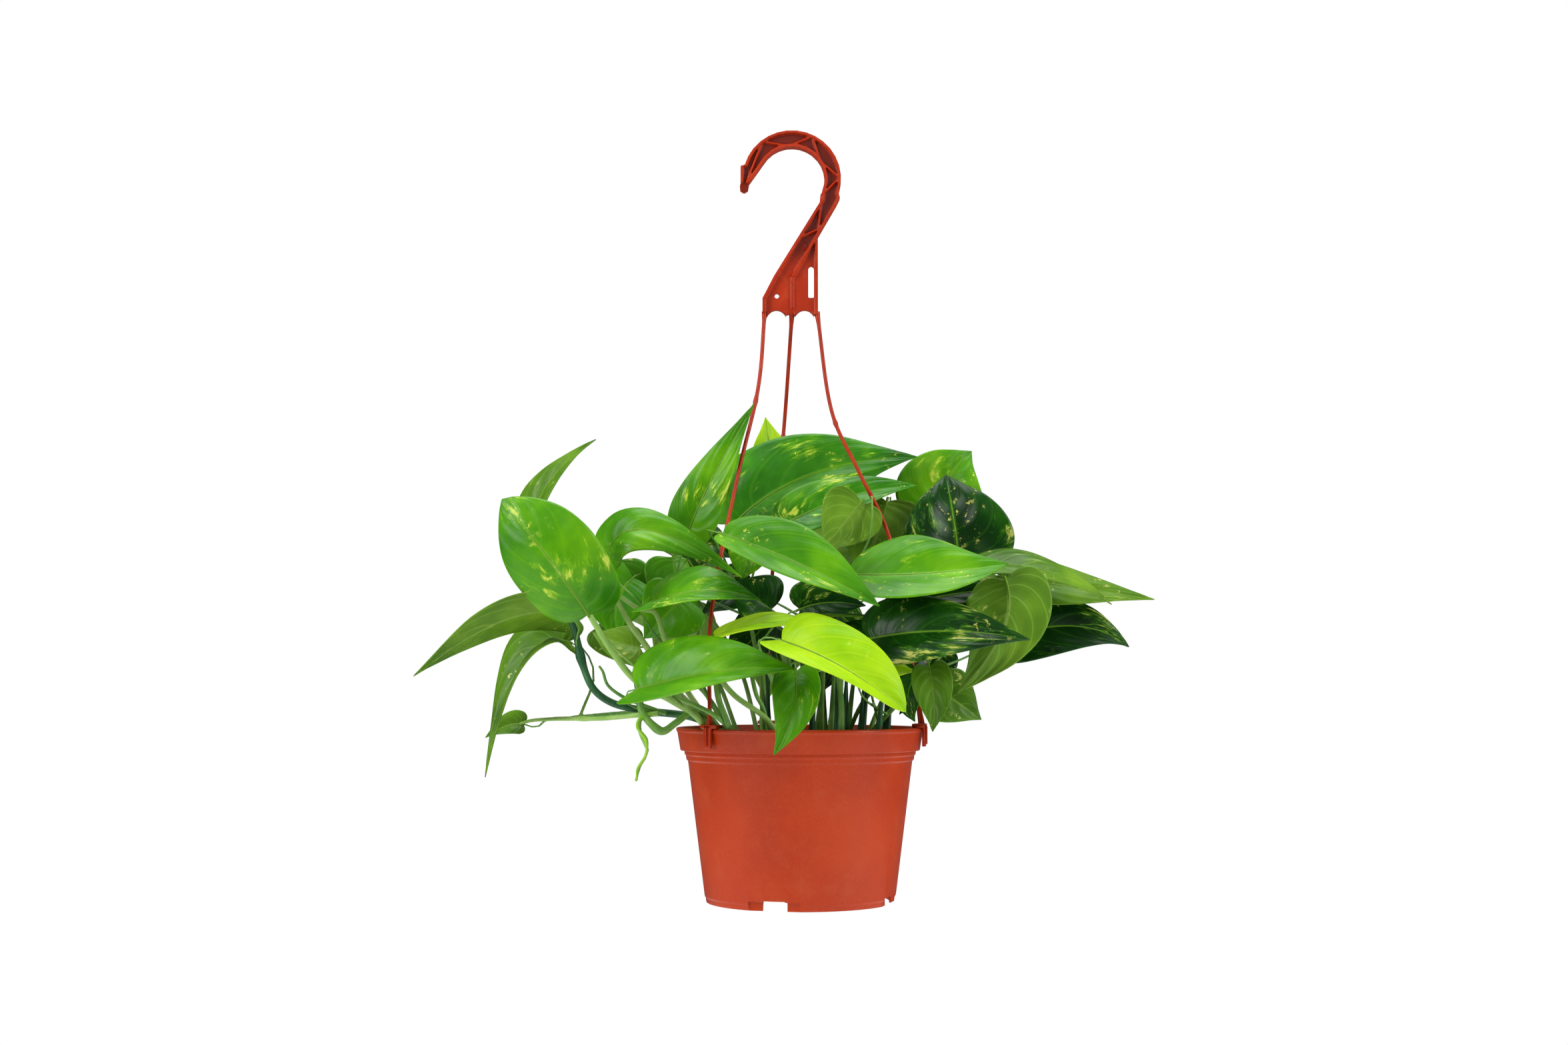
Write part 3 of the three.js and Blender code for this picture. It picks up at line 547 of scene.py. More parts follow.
def leafMaterial(name, look):
    n = Nodes(name)
    place = n.objectPlace()
    across, along = n.axes(n.uvPlace("blade"))[:2]
    side = n.math("MULTIPLY", n.math("ABSOLUTE", n.math("SUBTRACT", across, 0.5)), 2)

    # broad light and dark areas
    broad = n.noise(place, 26, 3)
    colour = n.ramp(broad, [(0.3, look["deep"]), (0.52, look["middle"]), (0.72, look["light"])])

    # lateral veins sweep from the midrib towards the tip
    bend = n.math("MULTIPLY", n.math("POWER", side, leafLook["veinBend"]), leafLook["veinSweep"])
    wobble = n.math("MULTIPLY", n.math("SUBTRACT", n.noise(place, 60, 2), 0.5), 0.03)
    swept = n.math("ADD", n.math("SUBTRACT", along, bend), wobble)
    turns = 2 * math.pi * leafLook["veinPairs"]
    wave = n.math("SINE", n.math("MULTIPLY", swept, turns))
    fineWave = n.math("SINE", n.math("MULTIPLY", swept, turns * 4))
    colour = n.tint(colour, look["veinColour"], n.step(wave, 0.86, 1.0), look["veinShare"])
    colour = n.tint(colour, look["light"], n.step(fineWave, 0.3, 1.0), 0.04)

    # pale marbling runs along the veins, in broken streaks, patches and small flecks
    streakPlace = n.add("ShaderNodeCombineXYZ")
    n.link(n.math("MULTIPLY", swept, 5.0), streakPlace.inputs[0])
    n.link(n.math("MULTIPLY", across, 3.0), streakPlace.inputs[1])
    n.link(n.math("MULTIPLY", n.noise(place, 9, 1), 3.0), streakPlace.inputs[2])
    streaks = n.noise(streakPlace.outputs[0], 2.4, 6, 0.7, 0.5)
    patches = n.noise(place, 24, 2)
    marbled = n.math("ADD", n.math("MULTIPLY", streaks, 0.5), n.math("MULTIPLY", patches, 0.5))
    cream = n.step(marbled, look["creamFrom"], look["creamFrom"] + 0.035)
    halo = n.step(marbled, look["creamFrom"] - 0.05, look["creamFrom"] + 0.02)
    flecks = n.step(n.noise(streakPlace.outputs[0], 11, 4, 0.72), 0.62, 0.67)
    flecks = n.math("MULTIPLY", flecks, n.step(patches, 0.50, 0.60))
    crumbs = n.step(n.noise(place, 210, 3, 0.75), 0.60, 0.64)
    crumbs = n.math("MULTIPLY", crumbs, n.step(n.noise(place, 34, 3, 0.6), 0.54, 0.66))
    colour = n.tint(colour, look["haloColour"], halo, 0.55)
    colour = n.tint(colour, look["haloColour"], flecks, look["fleckShare"])
    colour = n.tint(colour, look["creamColour"], cream, 0.9)
    colour = n.tint(colour, look["creamColour"], crumbs, look["fleckShare"])

    # midrib and margin
    rib = n.math("MULTIPLY", n.inverse(n.step(side, 0.015, 0.06)), n.inverse(n.math("MULTIPLY", along, 0.55)))
    colour = n.tint(colour, look["ribColour"], rib, look["ribShare"])
    colour = n.tint(colour, look["light"], n.step(side, 0.955, 1.0), 0.45)

    pores = n.noise(place, 600, 2)
    patchy = n.math("MULTIPLY", n.math("SUBTRACT", n.noise(place, 70, 3), 0.5), 0.22)
    bump = n.bump(n.math("ADD", n.math("MULTIPLY", fineWave, 0.4), wave), 0.25, 0.14 * mm)
    bump = n.bump(pores, 0.08, 0.05 * mm, bump)
    n.set(Base_Color=colour, Roughness=n.math("ADD", look["roughness"], patchy), Normal=bump)
    n.set(Specular_IOR_Level=look["specular"], Subsurface_Weight=look["glow"], Subsurface_Scale=1.6 * mm,
          Subsurface_Radius=(0.5, 1.0, 0.15), Coat_Weight=look["wax"], Coat_Roughness=0.24)
    return n.material


leafColours = {
    "leaf_green": {
        "deep": (0.026, 0.165, 0.002), "middle": (0.070, 0.285, 0.002), "light": (0.155, 0.425, 0.004),
        "veinColour": (0.200, 0.480, 0.012), "ribColour": (0.260, 0.520, 0.050), "veinShare": 0.14,
        "creamColour": (0.620, 0.700, 0.090), "haloColour": (0.300, 0.560, 0.012), "creamFrom": 0.600,
        "ribShare": 0.5, "fleckShare": 0.85, "roughness": 0.36, "specular": 0.18, "glow": 0.10, "wax": 0.03,
    },
    "leaf_bright": {
        "deep": (0.010, 0.105, 0.002), "middle": (0.034, 0.210, 0.003), "light": (0.100, 0.370, 0.004),
        "veinColour": (0.120, 0.380, 0.010), "ribColour": (0.180, 0.460, 0.020), "veinShare": 0.14,
        "creamColour": (0.600, 0.680, 0.080), "haloColour": (0.220, 0.500, 0.010), "creamFrom": 0.585,
        "ribShare": 0.45, "fleckShare": 0.9, "roughness": 0.34, "specular": 0.18, "glow": 0.08, "wax": 0.03,
    },
    "leaf_dark": {
        "deep": (0.002, 0.016, 0.002), "middle": (0.004, 0.040, 0.003), "light": (0.016, 0.100, 0.003),
        "veinColour": (0.060, 0.240, 0.012), "ribColour": (0.100, 0.320, 0.020), "veinShare": 0.14,
        "creamColour": (0.560, 0.560, 0.120), "haloColour": (0.090, 0.300, 0.010), "creamFrom": 0.590,
        "ribShare": 0.45, "fleckShare": 0.9, "roughness": 0.32, "specular": 0.16, "glow": 0.06, "wax": 0.03,
    },
    "leaf_lime": {
        "deep": (0.240, 0.520, 0.003), "middle": (0.360, 0.640, 0.004), "light": (0.500, 0.740, 0.010),
        "veinColour": (0.560, 0.780, 0.030), "ribColour": (0.620, 0.780, 0.080), "veinShare": 0.25,
        "creamColour": (0.720, 0.820, 0.140), "haloColour": (0.500, 0.720, 0.020), "creamFrom": 0.68,
        "ribShare": 0.45, "fleckShare": 0.5, "roughness": 0.38, "specular": 0.16, "glow": 0.16, "wax": 0.0,
    },
    "leaf_olive": {
        "deep": (0.045, 0.130, 0.006), "middle": (0.090, 0.220, 0.009), "light": (0.170, 0.340, 0.018),
        "veinColour": (0.230, 0.420, 0.045), "ribColour": (0.360, 0.520, 0.110), "veinShare": 0.2,
        "creamColour": (0.600, 0.640, 0.180), "haloColour": (0.220, 0.400, 0.035), "creamFrom": 0.600,
        "ribShare": 0.6, "fleckShare": 0.8, "roughness": 0.38, "specular": 0.18, "glow": 0.10, "wax": 0.0,
    },
}
underLook = {
    "deep": (0.055, 0.150, 0.007), "middle": (0.100, 0.230, 0.010), "light": (0.170, 0.340, 0.018),
    "veinColour": (0.220, 0.400, 0.040), "ribColour": (0.340, 0.520, 0.110), "veinShare": 0.4,
    "creamColour": (0.560, 0.620, 0.140), "haloColour": (0.240, 0.420, 0.040), "creamFrom": 0.600,
    "ribShare": 0.7, "fleckShare": 0.5, "roughness": 0.46, "specular": 0.20, "glow": 0.10, "wax": 0.0,
}
ribLook = {
    "baseRadius": 0.95 * mm, "tipRadius": 0.22 * mm, "steps": 16, "usualSize": 50 * mm,
    "reach": 0.9, "behind": 3.2 * mm, "sink": 0.25 * mm,
}


def underRib(place, length, name):
    # the midrib stands out below the blade and runs on into the stalk
    points = [place(0, 0) - (place(0.04, 0) - place(0, 0)).normalized() * ribLook["behind"]]
    for i in range(ribLook["steps"] + 1):
        u = ribLook["reach"] * i / ribLook["steps"]
        across = place(u, 0.1) - place(u, -0.1) if i else Vector((0, 0, 0))
        along = place(u + 0.02, 0) - place(u, 0)
        down = -across.cross(along).normalized() if i else Vector((0, 0, 0))
        points.append(place(u, 0) + down * ribLook["sink"])
    small = min(1, length / ribLook["usualSize"])
    return tube(points, ribLook["baseRadius"] * small, ribLook["tipRadius"], name, sides=8)


def closeSeams(leaf):
    # the grid's first and last rows shrink to the stalk and the tip
    makeActive(leaf)
    bpy.ops.object.mode_set(mode="EDIT")
    bpy.ops.mesh.select_all(action="SELECT")
    bpy.ops.mesh.remove_doubles(threshold=0.02 * mm)
    bpy.ops.object.mode_set(mode="OBJECT")


def makeLeaves():
    tops = {slotName: leafMaterial(slotName, look) for slotName, look in leafColours.items()}
    under = leafMaterial("leafUnderside", underLook)
    slots = {part["node"]: part["material_slot"] for part in frame["record"]["subparts"]}
    names = sorted(node for node in frame["nodes"] if node.startswith("leaf_"))
    slots.update({name: look[0] for name, look in innerLeaves.items()})
    for number, node in enumerate(names + list(innerLeaves)):
        inner = innerLeaves.get(node)
        blade = drawnBlade(*inner[2:5], inner[1], inner[5]) if inner else readBlade(node)
        leaf, place, length = buildLeaf(blade, "blade_" + node.replace("leaf_", ""), 40 + number)
        closeSeams(leaf)
        leaf.data.materials.clear()
        leaf.data.materials.append(tops["leaf_bright" if node in brighterLeaves else slots[node]])
        leaf.data.materials.append(under)
        solid = leaf.modifiers.new("blade", "SOLIDIFY")
        solid.thickness = leafLook["thickness"]
        solid.offset = 0
        solid.use_even_offset = False
        solid.material_offset = 1
        solid.material_offset_rim = 0
        applyModifiers(leaf)
        rib = underRib(place, length, "rib_" + node)
        rib.data.materials.append(under)
        leaf = joinPieces([leaf, rib], leaf.name)
        makeActive(leaf)
        bpy.ops.object.shade_smooth()
        finishPiece(leaf, [] if inner else [node], None)
    print(len(names), "leaf blades and", len(innerLeaves), "inner ones built")


makeLeaves()


# ---------- stems and leaf stalks ----------

stemLook = {"voxel": 0.5 * mm, "smoothSteps": 8, "innerRadius": 1.5 * mm, "innerTip": 0.9 * mm}
stemColours = {
    "livingStem": ((0.050, 0.170, 0.022), (0.140, 0.330, 0.045), (0.280, 0.480, 0.100)),
    "paleStem": ((0.150, 0.330, 0.050), (0.250, 0.450, 0.085), (0.420, 0.600, 0.190)),
    "darkStem": ((0.005, 0.045, 0.012), (0.011, 0.085, 0.022), (0.045, 0.170, 0.050)),
    "limeStem": ((0.110, 0.340, 0.008), (0.200, 0.480, 0.012), (0.340, 0.600, 0.040)),
}


def stemMaterial(name):
    n = Nodes(name)
    place = n.objectPlace()
    dark, middle, light = stemColours[name]
    colour = n.ramp(n.noise(place, 30, 3), [(0.32, dark), (0.5, middle), (0.7, light)])
    stretched = n.add("ShaderNodeMapping")
    n.link(place, stretched.inputs["Vector"])
    stretched.inputs["Scale"].default_value = (1, 1, 0.15)
    lines = n.noise(stretched.outputs[0], 900, 3)
    specks = n.cells(place, 420)
    scars = n.step(n.noise(place, 75, 4, 0.7), 0.66, 0.72)
    colour = n.tint(colour, light, n.step(lines, 0.52, 0.68), 0.3)
    colour = n.tint(colour, light, n.inverse(n.step(specks, 0.05, 0.16)), 0.4)
    colour = n.tint(colour, (0.17, 0.10, 0.035), scars, 0.6)
    roughness = n.math("ADD", 0.34, n.math("MULTIPLY", n.noise(place, 120, 2), 0.2))
    bump = n.bump(lines, 0.25, 0.12 * mm)
    bump = n.bump(specks, 0.15, 0.08 * mm, bump)
    n.set(Base_Color=colour, Roughness=roughness, Normal=bump, Specular_IOR_Level=0.4)
    n.set(Subsurface_Weight=0.12, Subsurface_Scale=1.5 * mm, Subsurface_Radius=(0.6, 1.0, 0.2))
    return n.material


# further stalks and stems seen above the rim, in millimetres from the rim's centre:
# material, first and last radius, node swellings (share along, extra radius, reach), points
looseStems = {
    "dark_stem": ("darkStem", 2.5, 1.9, ((0.8, 0.9, 0.035),), (
        (-40, -28, -24), (-40, -28, -17), (-40, -28, -8), (-62, -38, 6), (-95, -44, 11), (-113, -48, 16),
        (-123, -48, 24), (-130, -46, 40), (-133, -48, 54), (-136, -51, 64))),
    "stem_bend": ("livingStem", 2.2, 1.9, ((0.45, 0.5, 0.08),), (
        (-97, -58, 34), (-95, -60, 22), (-93, -64, 11), (-87, -64, 3), (-81, -62, -1), (-73, -56, 4),
        (-62, -50, 11), (-50, -42, 2), (-44, -36, -14))),
    "tendril": ("livingStem", 0.7, 1.2, (), (
        (-119, -53, 37), (-117, -52, 34), (-114, -52, 26), (-105, -52, 19), (-93, -50, 14),
        (-80, -46, 9))),
    "side_stalk": ("paleStem", 1.5, 2.2, (), (
        (-116, -34, 96), (-111, -40, 80), (-102, -46, 63), (-91, -50, 48), (-77, -50, 26), (-63, -46, 11),
        (-48, -38, -13))),
    "light_stalk": ("paleStem", 1.3, 1.8, (), (
        (-107, -44, 78), (-96, -46, 71), (-87, -46, 69), (-82, -46, 56), (-72, -44, 30), (-55, -38, 4),
        (-44, -30, -13))),
    "front_stalk": ("paleStem", 1.7, 2.3, ((0.95, 0.5, 0.08),), (
        (-124, -70, 68), (-110, -66, 45), (-96, -62, 28), (-76, -58, 17), (-60, -50, 6),
        (-50, -40, -13))),
    "aerial_root": ("limeStem", 1.3, 0.5, ((0.5, 0.35, 0.06),), (
        (-88, -63, 9), (-93, -66, 7), (-95, -68, 2), (-90, -68, -6), (-90, -68, -14), (-95, -68, -23),
        (-95, -68, -29))),
    "long_root": ("paleStem", 0.9, 1.6, ((0.55, 0.4, 0.03),), (
        (-171, -14.5, 2), (-165, -14, 4), (-154, -14, 5), (-136, -22, 5.5), (-118, -36, 6), (-98, -48, 8),
        (-84, -50, 9))),
    "rim_stalk_1": ("paleStem", 1.6, 1.6, (), (
        (-58, -56, 44), (-50, -60, 33), (-39, -62, 20), (-20, -62, 6), (-8, -56, -12))),
    "rim_stalk_2": ("livingStem", 1.8, 1.8, (), (
        (-50, -58, 30), (-48, -60, 17), (-43, -60, 4), (-38, -52, -13))),
    "rim_stalk_3": ("livingStem", 1.7, 1.8, (), (
        (22, -44, 36), (24, -50, 14), (24, -52, 2), (24, -48, -13))),
    "rim_stalk_4": ("livingStem", 1.3, 1.3, (), (
        (-29, -58, 32), (-26, -60, 20), (-22, -60, 12), (-17, -54, -13))),
}
# upright shoots rise from the soil and taper to rolled young leaves
shootLook = {
    "seed": 12, "count": 26, "radius": 2.5, "tipRadius": 0.35, "xRange": (-34, 54), "yRange": (-46, 4),
    "soil": -14, "top": (46, 66), "lean": 0.22,
}


def makeLooseStems(materials):
    for name, (look, first, last, swellings, points) in looseStems.items():
        points = [rimCentre + Vector(point) * mm for point in points]
        bumps = [(share, extra * mm, reach) for share, extra, reach in swellings]
        stem = tube(curveThrough(points, 10), first * mm, last * mm, name, 16, bumps)
        smoothFinish(stem, materials[look])
    print(len(looseStems), "loose stems built")


def makeInnerStalks(material):
    # each inner leaf's stalk leaves the soil near the middle and leans out to its blade
    for name, look in innerLeaves.items():
        x, y, z = look[2]
        root = (x * 0.3, y * 0.8, shootLook["soil"])
        line = (root, (x * 0.5, y, z * 0.4), (x * 0.9, y + 3, z * 0.85), (x, y, z))
        points = [rimCentre + Vector(point) * mm for point in line]
        swelling = ((0.04, 0.4 * mm, 0.03),)
        stalk = tube(curveThrough(points, 10), stemLook["innerRadius"], stemLook["innerTip"],
                     "stalk_" + name, 12, swelling)
        smoothFinish(stalk, material)


def makeShoots(materials):
    draw = random.Random(shootLook["seed"])
    soil = shootLook["soil"]
    shoots = {"darkStem": [], "livingStem": []}
    for number in range(shootLook["count"]):
        x, y = draw.uniform(*shootLook["xRange"]), draw.uniform(*shootLook["yRange"])
        top = draw.uniform(*shootLook["top"])
        lean = shootLook["lean"] * draw.uniform(0.3, 1)
        side = draw.uniform(-5, 5)
        points = []
        for share in (0, 0.3, 0.65, 1):
            out = 1 + lean * share
            spot = Vector((x * out + side * share * share, y * out, soil + (top - soil) * share))
            points.append(rimCentre + spot * mm)
        swelling = [(draw.uniform(0.12, 0.3), 0.5 * mm, 0.03)]
        look = "livingStem" if number % 3 == 0 else "darkStem"
        radius = shootLook["radius"] * draw.uniform(0.75, 1) * mm
        tip = shootLook["tipRadius"] * mm
        shoots[look].append(tube(curveThrough(points, 8), radius, tip, "shoot", 14, swelling))
    for look, pieces in shoots.items():
        smoothFinish(joinPieces(pieces, "shoots_" + look), materials[look])
    print(shootLook["count"], "shoots built")


def makeStems():
    materials = {name: stemMaterial(name) for name in stemColours}
    names = sorted(node for node in frame["nodes"] if node.startswith("vine_"))
    for node in names:
        stem = mergedCopy(node, "stems_" + node[5:])
        remesh = stem.modifiers.new("even skin", "REMESH")
        remesh.mode = "VOXEL"
        remesh.voxel_size = stemLook["voxel"] * 1
        soften = stem.modifiers.new("soften", "SMOOTH")
        soften.factor = 0.5
        soften.iterations = stemLook["smoothSteps"]
        applyModifiers(stem)
        makeActive(stem)
        bpy.ops.object.shade_smooth()
        finishPiece(stem, [node], materials["livingStem"])
    print(len(names), "vines built")
    makeLooseStems(materials)
    makeInnerStalks(materials["livingStem"])
    makeShoots(materials)


makeStems()


# ---------- pot ----------

potLook = {
    "turns": 160,              # segments around
    "edgeRadius": 0.45 * mm,
    "wall": 2.2 * mm, "band": 14 * mm, "foot": 58 * mm, "footLift": 7 * mm,
    "bodyTopShare": 0.908, "bandFootShare": 0.965,   # as shares of the rim's radius
    "notches": 4, "notchTurn": -16, "notchRounding": 1.2 * mm,
    "notchCuts": (             # width, depth, height and place from the foot's radius
        (15 * mm, 12 * mm, 12 * mm, -2 * mm), (32 * mm, 6 * mm, 11 * mm, -0.2 * mm)),
    "drains": 6, "drainRadius": 3.5 * mm, "drainTurn": 10, "drainShare": 0.7,
}


def potOutline():
    # radius and height from the rim's centre, down the outside and back up the inside
    height = potHigh.z - potLow.z
    rim, band, foot, wall = rimRadius, potLook["band"], potLook["foot"], potLook["wall"]
    bodyTop, bandFoot = rim * potLook["bodyTopShare"], rim * potLook["bandFootShare"]
    floor = -height + potLook["footLift"]
    return [
        (0, floor), (foot - 6 * mm, floor), (foot - 4 * mm, floor - 3 * mm), (foot - 3.5 * mm, -height),
        (foot - 0.6 * mm, -height), (foot - 0.2 * mm, 3 * mm - height), (foot + 0.4 * mm, 3.8 * mm - height),
        (bodyTop - 0.3 * mm, -20.4 * mm), (bodyTop + 0.7 * mm, -19.6 * mm),
        (bodyTop + 1 * mm, -band - 3 * mm), (bodyTop + 1.8 * mm, -band - 2.4 * mm),
        (bodyTop + 1.9 * mm, -band), (bandFoot, -band),
        (rim - 0.7 * mm, -2.8 * mm), (rim, -1.8 * mm), (rim, -0.6 * mm), (rim - 0.8 * mm, 0), (rim - wall, 0),
        (rim - wall - 0.7 * mm, -0.7 * mm), (bandFoot - wall, 0.6 * mm - band),
        (bodyTop - wall, -band - 2.4 * mm), (foot - wall + 0.6 * mm, floor + wall + 2.8 * mm),
        (foot - wall - 2 * mm, floor + wall), (0, floor + wall),
    ]


def spunPiece(outline, turns, edgeRadius, name):
    # one vertex is drawn out along the outline, its corners rounded, and the line spun round
    bpy.ops.mesh.primitive_plane_add(size=1 * mm, location=(0, 0, 0))
    piece = bpy.context.object
    piece.name = name
    piece.data.name = name
    bpy.ops.object.mode_set(mode="EDIT")
    bpy.ops.mesh.select_all(action="SELECT")
    bpy.ops.mesh.merge(type="CENTER")
    spots = [rimCentre + Vector((radius, 0, height)) for radius, height in outline]
    here = Vector((0, 0, 0))
    bpy.ops.transform.translate(value=spots[0] - here)
    for before, after in zip(spots, spots[1:]):
        bpy.ops.mesh.extrude_region_move(TRANSFORM_OT_translate={"value": after - before})
    bpy.ops.mesh.select_all(action="SELECT")
    bpy.ops.object.mode_set(mode="OBJECT")
    for vertex in piece.data.vertices:
        onAxis = abs(vertex.co.x - rimCentre.x) < 0.01 * mm
        vertex.select = not onAxis
    bpy.ops.object.mode_set(mode="EDIT")
    bpy.ops.mesh.bevel(offset=edgeRadius, segments=3, affect="VERTICES")
    bpy.ops.mesh.select_all(action="SELECT")
    bpy.ops.mesh.spin(steps=turns, angle=2 * math.pi, center=rimCentre, axis=(0, 0, 1))
    bpy.ops.mesh.select_all(action="SELECT")
    bpy.ops.mesh.remove_doubles(threshold=0.01 * mm)
    bpy.ops.mesh.normals_make_consistent(inside=False)
    bpy.ops.object.mode_set(mode="OBJECT")
    return piece


def cutAway(piece, cutters):
    tool = joinPieces(cutters, "cutter")
    boolean = piece.modifiers.new("cut", "BOOLEAN")
    boolean.operation = "DIFFERENCE"
    boolean.solver = "EXACT"
    boolean.use_self = True
    boolean.object = tool
    applyModifiers(piece)
    bpy.data.objects.remove(tool)


def potMaterial():
    n = Nodes("mouldedTerracottaPlastic")
    place = n.objectPlace()
    tones = [(0.3, (0.365, 0.026, 0.002)), (0.5, (0.425, 0.033, 0.002)), (0.72, (0.480, 0.043, 0.003))]
    colour = n.ramp(n.noise(place, 14, 3), tones)
    grain = n.noise(place, 800, 2)
    colour = n.tint(colour, (0.60, 0.085, 0.016), n.step(grain, 0.45, 0.75), 0.22)
    specks = n.inverse(n.step(n.cells(place, 260), 0.03, 0.1))
    colour = n.tint(colour, (0.22, 0.020, 0.006), specks, 0.18)
    # dust lies in faint level bands and light scuffs
    level = n.add("ShaderNodeCombineXYZ")
    n.link(n.math("MULTIPLY", n.axes(place)[2], 700), level.inputs[2])
    bands = n.noise(level.outputs[0], 1, 2)
    dust = n.step(n.noise(place, 42, 4, 0.65), 0.5, 0.75)
    colour = n.tint(colour, (0.58, 0.150, 0.060), dust, 0.12)
    roughness = n.math("ADD", 0.27, n.math("MULTIPLY", n.noise(place, 160, 3), 0.14))
    bump = n.bump(bands, 0.06, 0.10 * mm)
    bump = n.bump(grain, 0.22, 0.09 * mm, bump)
    n.set(Base_Color=colour, Roughness=roughness, Normal=bump, Specular_IOR_Level=0.26)
    return n.material


def notchCutters():
    cutters = []
    height = potHigh.z - potLow.z
    for i in range(potLook["notches"]):
        turn = math.radians(potLook["notchTurn"] + 360 / potLook["notches"] * i)
        for width, depth, tall, out in potLook["notchCuts"]:
            spot = roundPot(potLook["foot"] + out, turn, -height)
            bpy.ops.mesh.primitive_cube_add(size=1, location=spot, rotation=(0, 0, turn),
                                            scale=(width, depth, tall))
            notch = bpy.context.object
            applyPlace(notch)
            roundEdges(notch, potLook["notchRounding"], 3)
            cutters.append(notch)
    return cutters


def drainCutters():
    cutters = []
    height = potHigh.z - potLow.z
    for i in range(potLook["drains"]):
        turn = math.radians(360 / potLook["drains"] * i + potLook["drainTurn"])
        spot = roundPot(potLook["foot"] * potLook["drainShare"], turn, potLook["footLift"] - height + 1 * mm)
        bpy.ops.mesh.primitive_cylinder_add(vertices=28, radius=potLook["drainRadius"], depth=8 * mm,
                                            location=spot)
        applyPlace(bpy.context.object)
        cutters.append(bpy.context.object)
    return cutters


def makePot():
    pot = spunPiece(potOutline(), potLook["turns"], potLook["edgeRadius"], "pot_shell")
    cutAway(pot, notchCutters() + drainCutters())
    smooth(pot, 32)
    finishPiece(pot, ["pot"], potMaterial())
    print("pot built,", len(pot.data.vertices), "points")


makePot()


# ---------- hanger ----------

hangerLook = {
    "strandRadius": 1.2 * mm, "clipTurns": (-45, 76, 196), "voxel": 0.4 * mm,
    "hookCentre": Vector((-5, 0, 343.4)), "plateFoot": -86.5,
    "bodyCut": 2.4,            # below the plate's foot, where the moulded body ends
    "clipRounding": 0.45 * mm,
    "pins": ((3.3, 300), (-6.2, 283.3)), "pinPlace": 1.3,   # millimetres either side of the plate's middle
    "pinRadius": 2.4 * mm, "pinDepth": 0.5 * mm, "pinRounding": 0.2 * mm,
    # start across the plate, where the bow is, how far it bows, the points it then passes
    "strands": (
        (-22, 0.44, (3.6, 1.7), ((-38.4, -22, 152), (-53.6, -42, 65))),
        (10.8, 0.653, (-6.8, 1.6), ((36.2, -7, 158), (55, -12, 116))),
        (-4.8, 0.62, (0.3, 12), ((-12.5, 42, 162), (-18.5, 60, 80)))),
    "collars": ((0.30, 0.62), (0.28, 0.60), (0.34,)),   # shares along each strand
}


def fromRim(x, y, z):
    return rimCentre + Vector((x, y, z)) * mm


def strandPoints():
    # the same lines as the CAD strands, from the plate's foot to the clips
    top = hangerLook["hookCentre"].z + hangerLook["plateFoot"] + 2
    lines = []
    for degrees, (start, share, bow, through) in zip(hangerLook["clipTurns"], hangerLook["strands"]):
        foot = roundPot(rimRadius - 0.4 * mm, math.radians(degrees), 2.2 * mm)
        first = fromRim(start, 0, top)
        through = [fromRim(*point) for point in through]
        bowed = first.lerp(through[0], share) + Vector((*bow, 0)) * mm
        lines.append([first, bowed, *through, foot])
    return lines


def hangerMaterial():
    n = Nodes("glossyHangerPlastic")
    place = n.objectPlace()
    tones = [(0.3, (0.330, 0.018, 0.002)), (0.52, (0.420, 0.026, 0.002)), (0.75, (0.500, 0.040, 0.005))]
    colour = n.ramp(n.noise(place, 22, 2), tones)
    swirl = n.noise(place, 90, 4, 0.6, 1.2)
    colour = n.tint(colour, (0.60, 0.11, 0.035), n.step(swirl, 0.5, 0.7), 0.16)
    # above the plate, painted shade darkens the web between the ribs; the web is the same plastic as the ribs
    where = n.axes(place)
    facing = n.axes(n.add("ShaderNodeNewGeometry").outputs["Normal"])
    plateFoot = rimCentre.z + (hangerLook["hookCentre"].z + hangerLook["plateFoot"]) * mm
    paintedWebShade = n.inverse(n.step(n.math("ABSOLUTE", where[1]), 1.45 * mm, 1.9 * mm))
    paintedWebShade = n.math("MULTIPLY", paintedWebShade, n.step(n.math("ABSOLUTE", facing[1]), 0.5, 0.85))
    paintedWebShade = n.math("MULTIPLY", paintedWebShade, n.step(where[2], plateFoot + 30 * mm, plateFoot + 44 * mm))
    # painted shade: the dark red-brown tint stands in for shade in the web between the ribs
    colour = n.tint(colour, (0.100, 0.005, 0.001), paintedWebShade, 0.75)
    roughness = n.math("ADD", 0.24, n.math("MULTIPLY", n.noise(place, 140, 3), 0.22))
    bump = n.bump(n.noise(place, 600, 2), 0.08, 0.06 * mm)
    bump = n.bump(swirl, 0.12, 0.12 * mm, bump)
    n.set(Base_Color=colour, Roughness=roughness, Normal=bump, Specular_IOR_Level=0.28)
    return n.material


def hookBody():
    # the moulded hook and plate, its ribs run into the web with small fillets
    body = mergedCopy("hanger", "hook_body")
    makeActive(body)
    cutPlace = hangerLook["hookCentre"].z + hangerLook["plateFoot"] - hangerLook["bodyCut"]
    cutHeight = rimCentre.z + cutPlace * mm
    bpy.ops.object.mode_set(mode="EDIT")
    bpy.ops.mesh.select_all(action="SELECT")
    bpy.ops.mesh.bisect(plane_co=(0, 0, cutHeight), plane_no=(0, 0, 1), use_fill=True, clear_inner=True)
    bpy.ops.object.mode_set(mode="OBJECT")
    fuse = body.modifiers.new("fuse", "REMESH")
    fuse.mode = "VOXEL"
    fuse.voxel_size = hangerLook["voxel"] * 1
    soften = body.modifiers.new("soften", "SMOOTH")
    soften.factor = 0.5
    soften.iterations = 3
    thin = body.modifiers.new("thin", "DECIMATE")
    thin.ratio = 0.42
    applyModifiers(body)
    return body


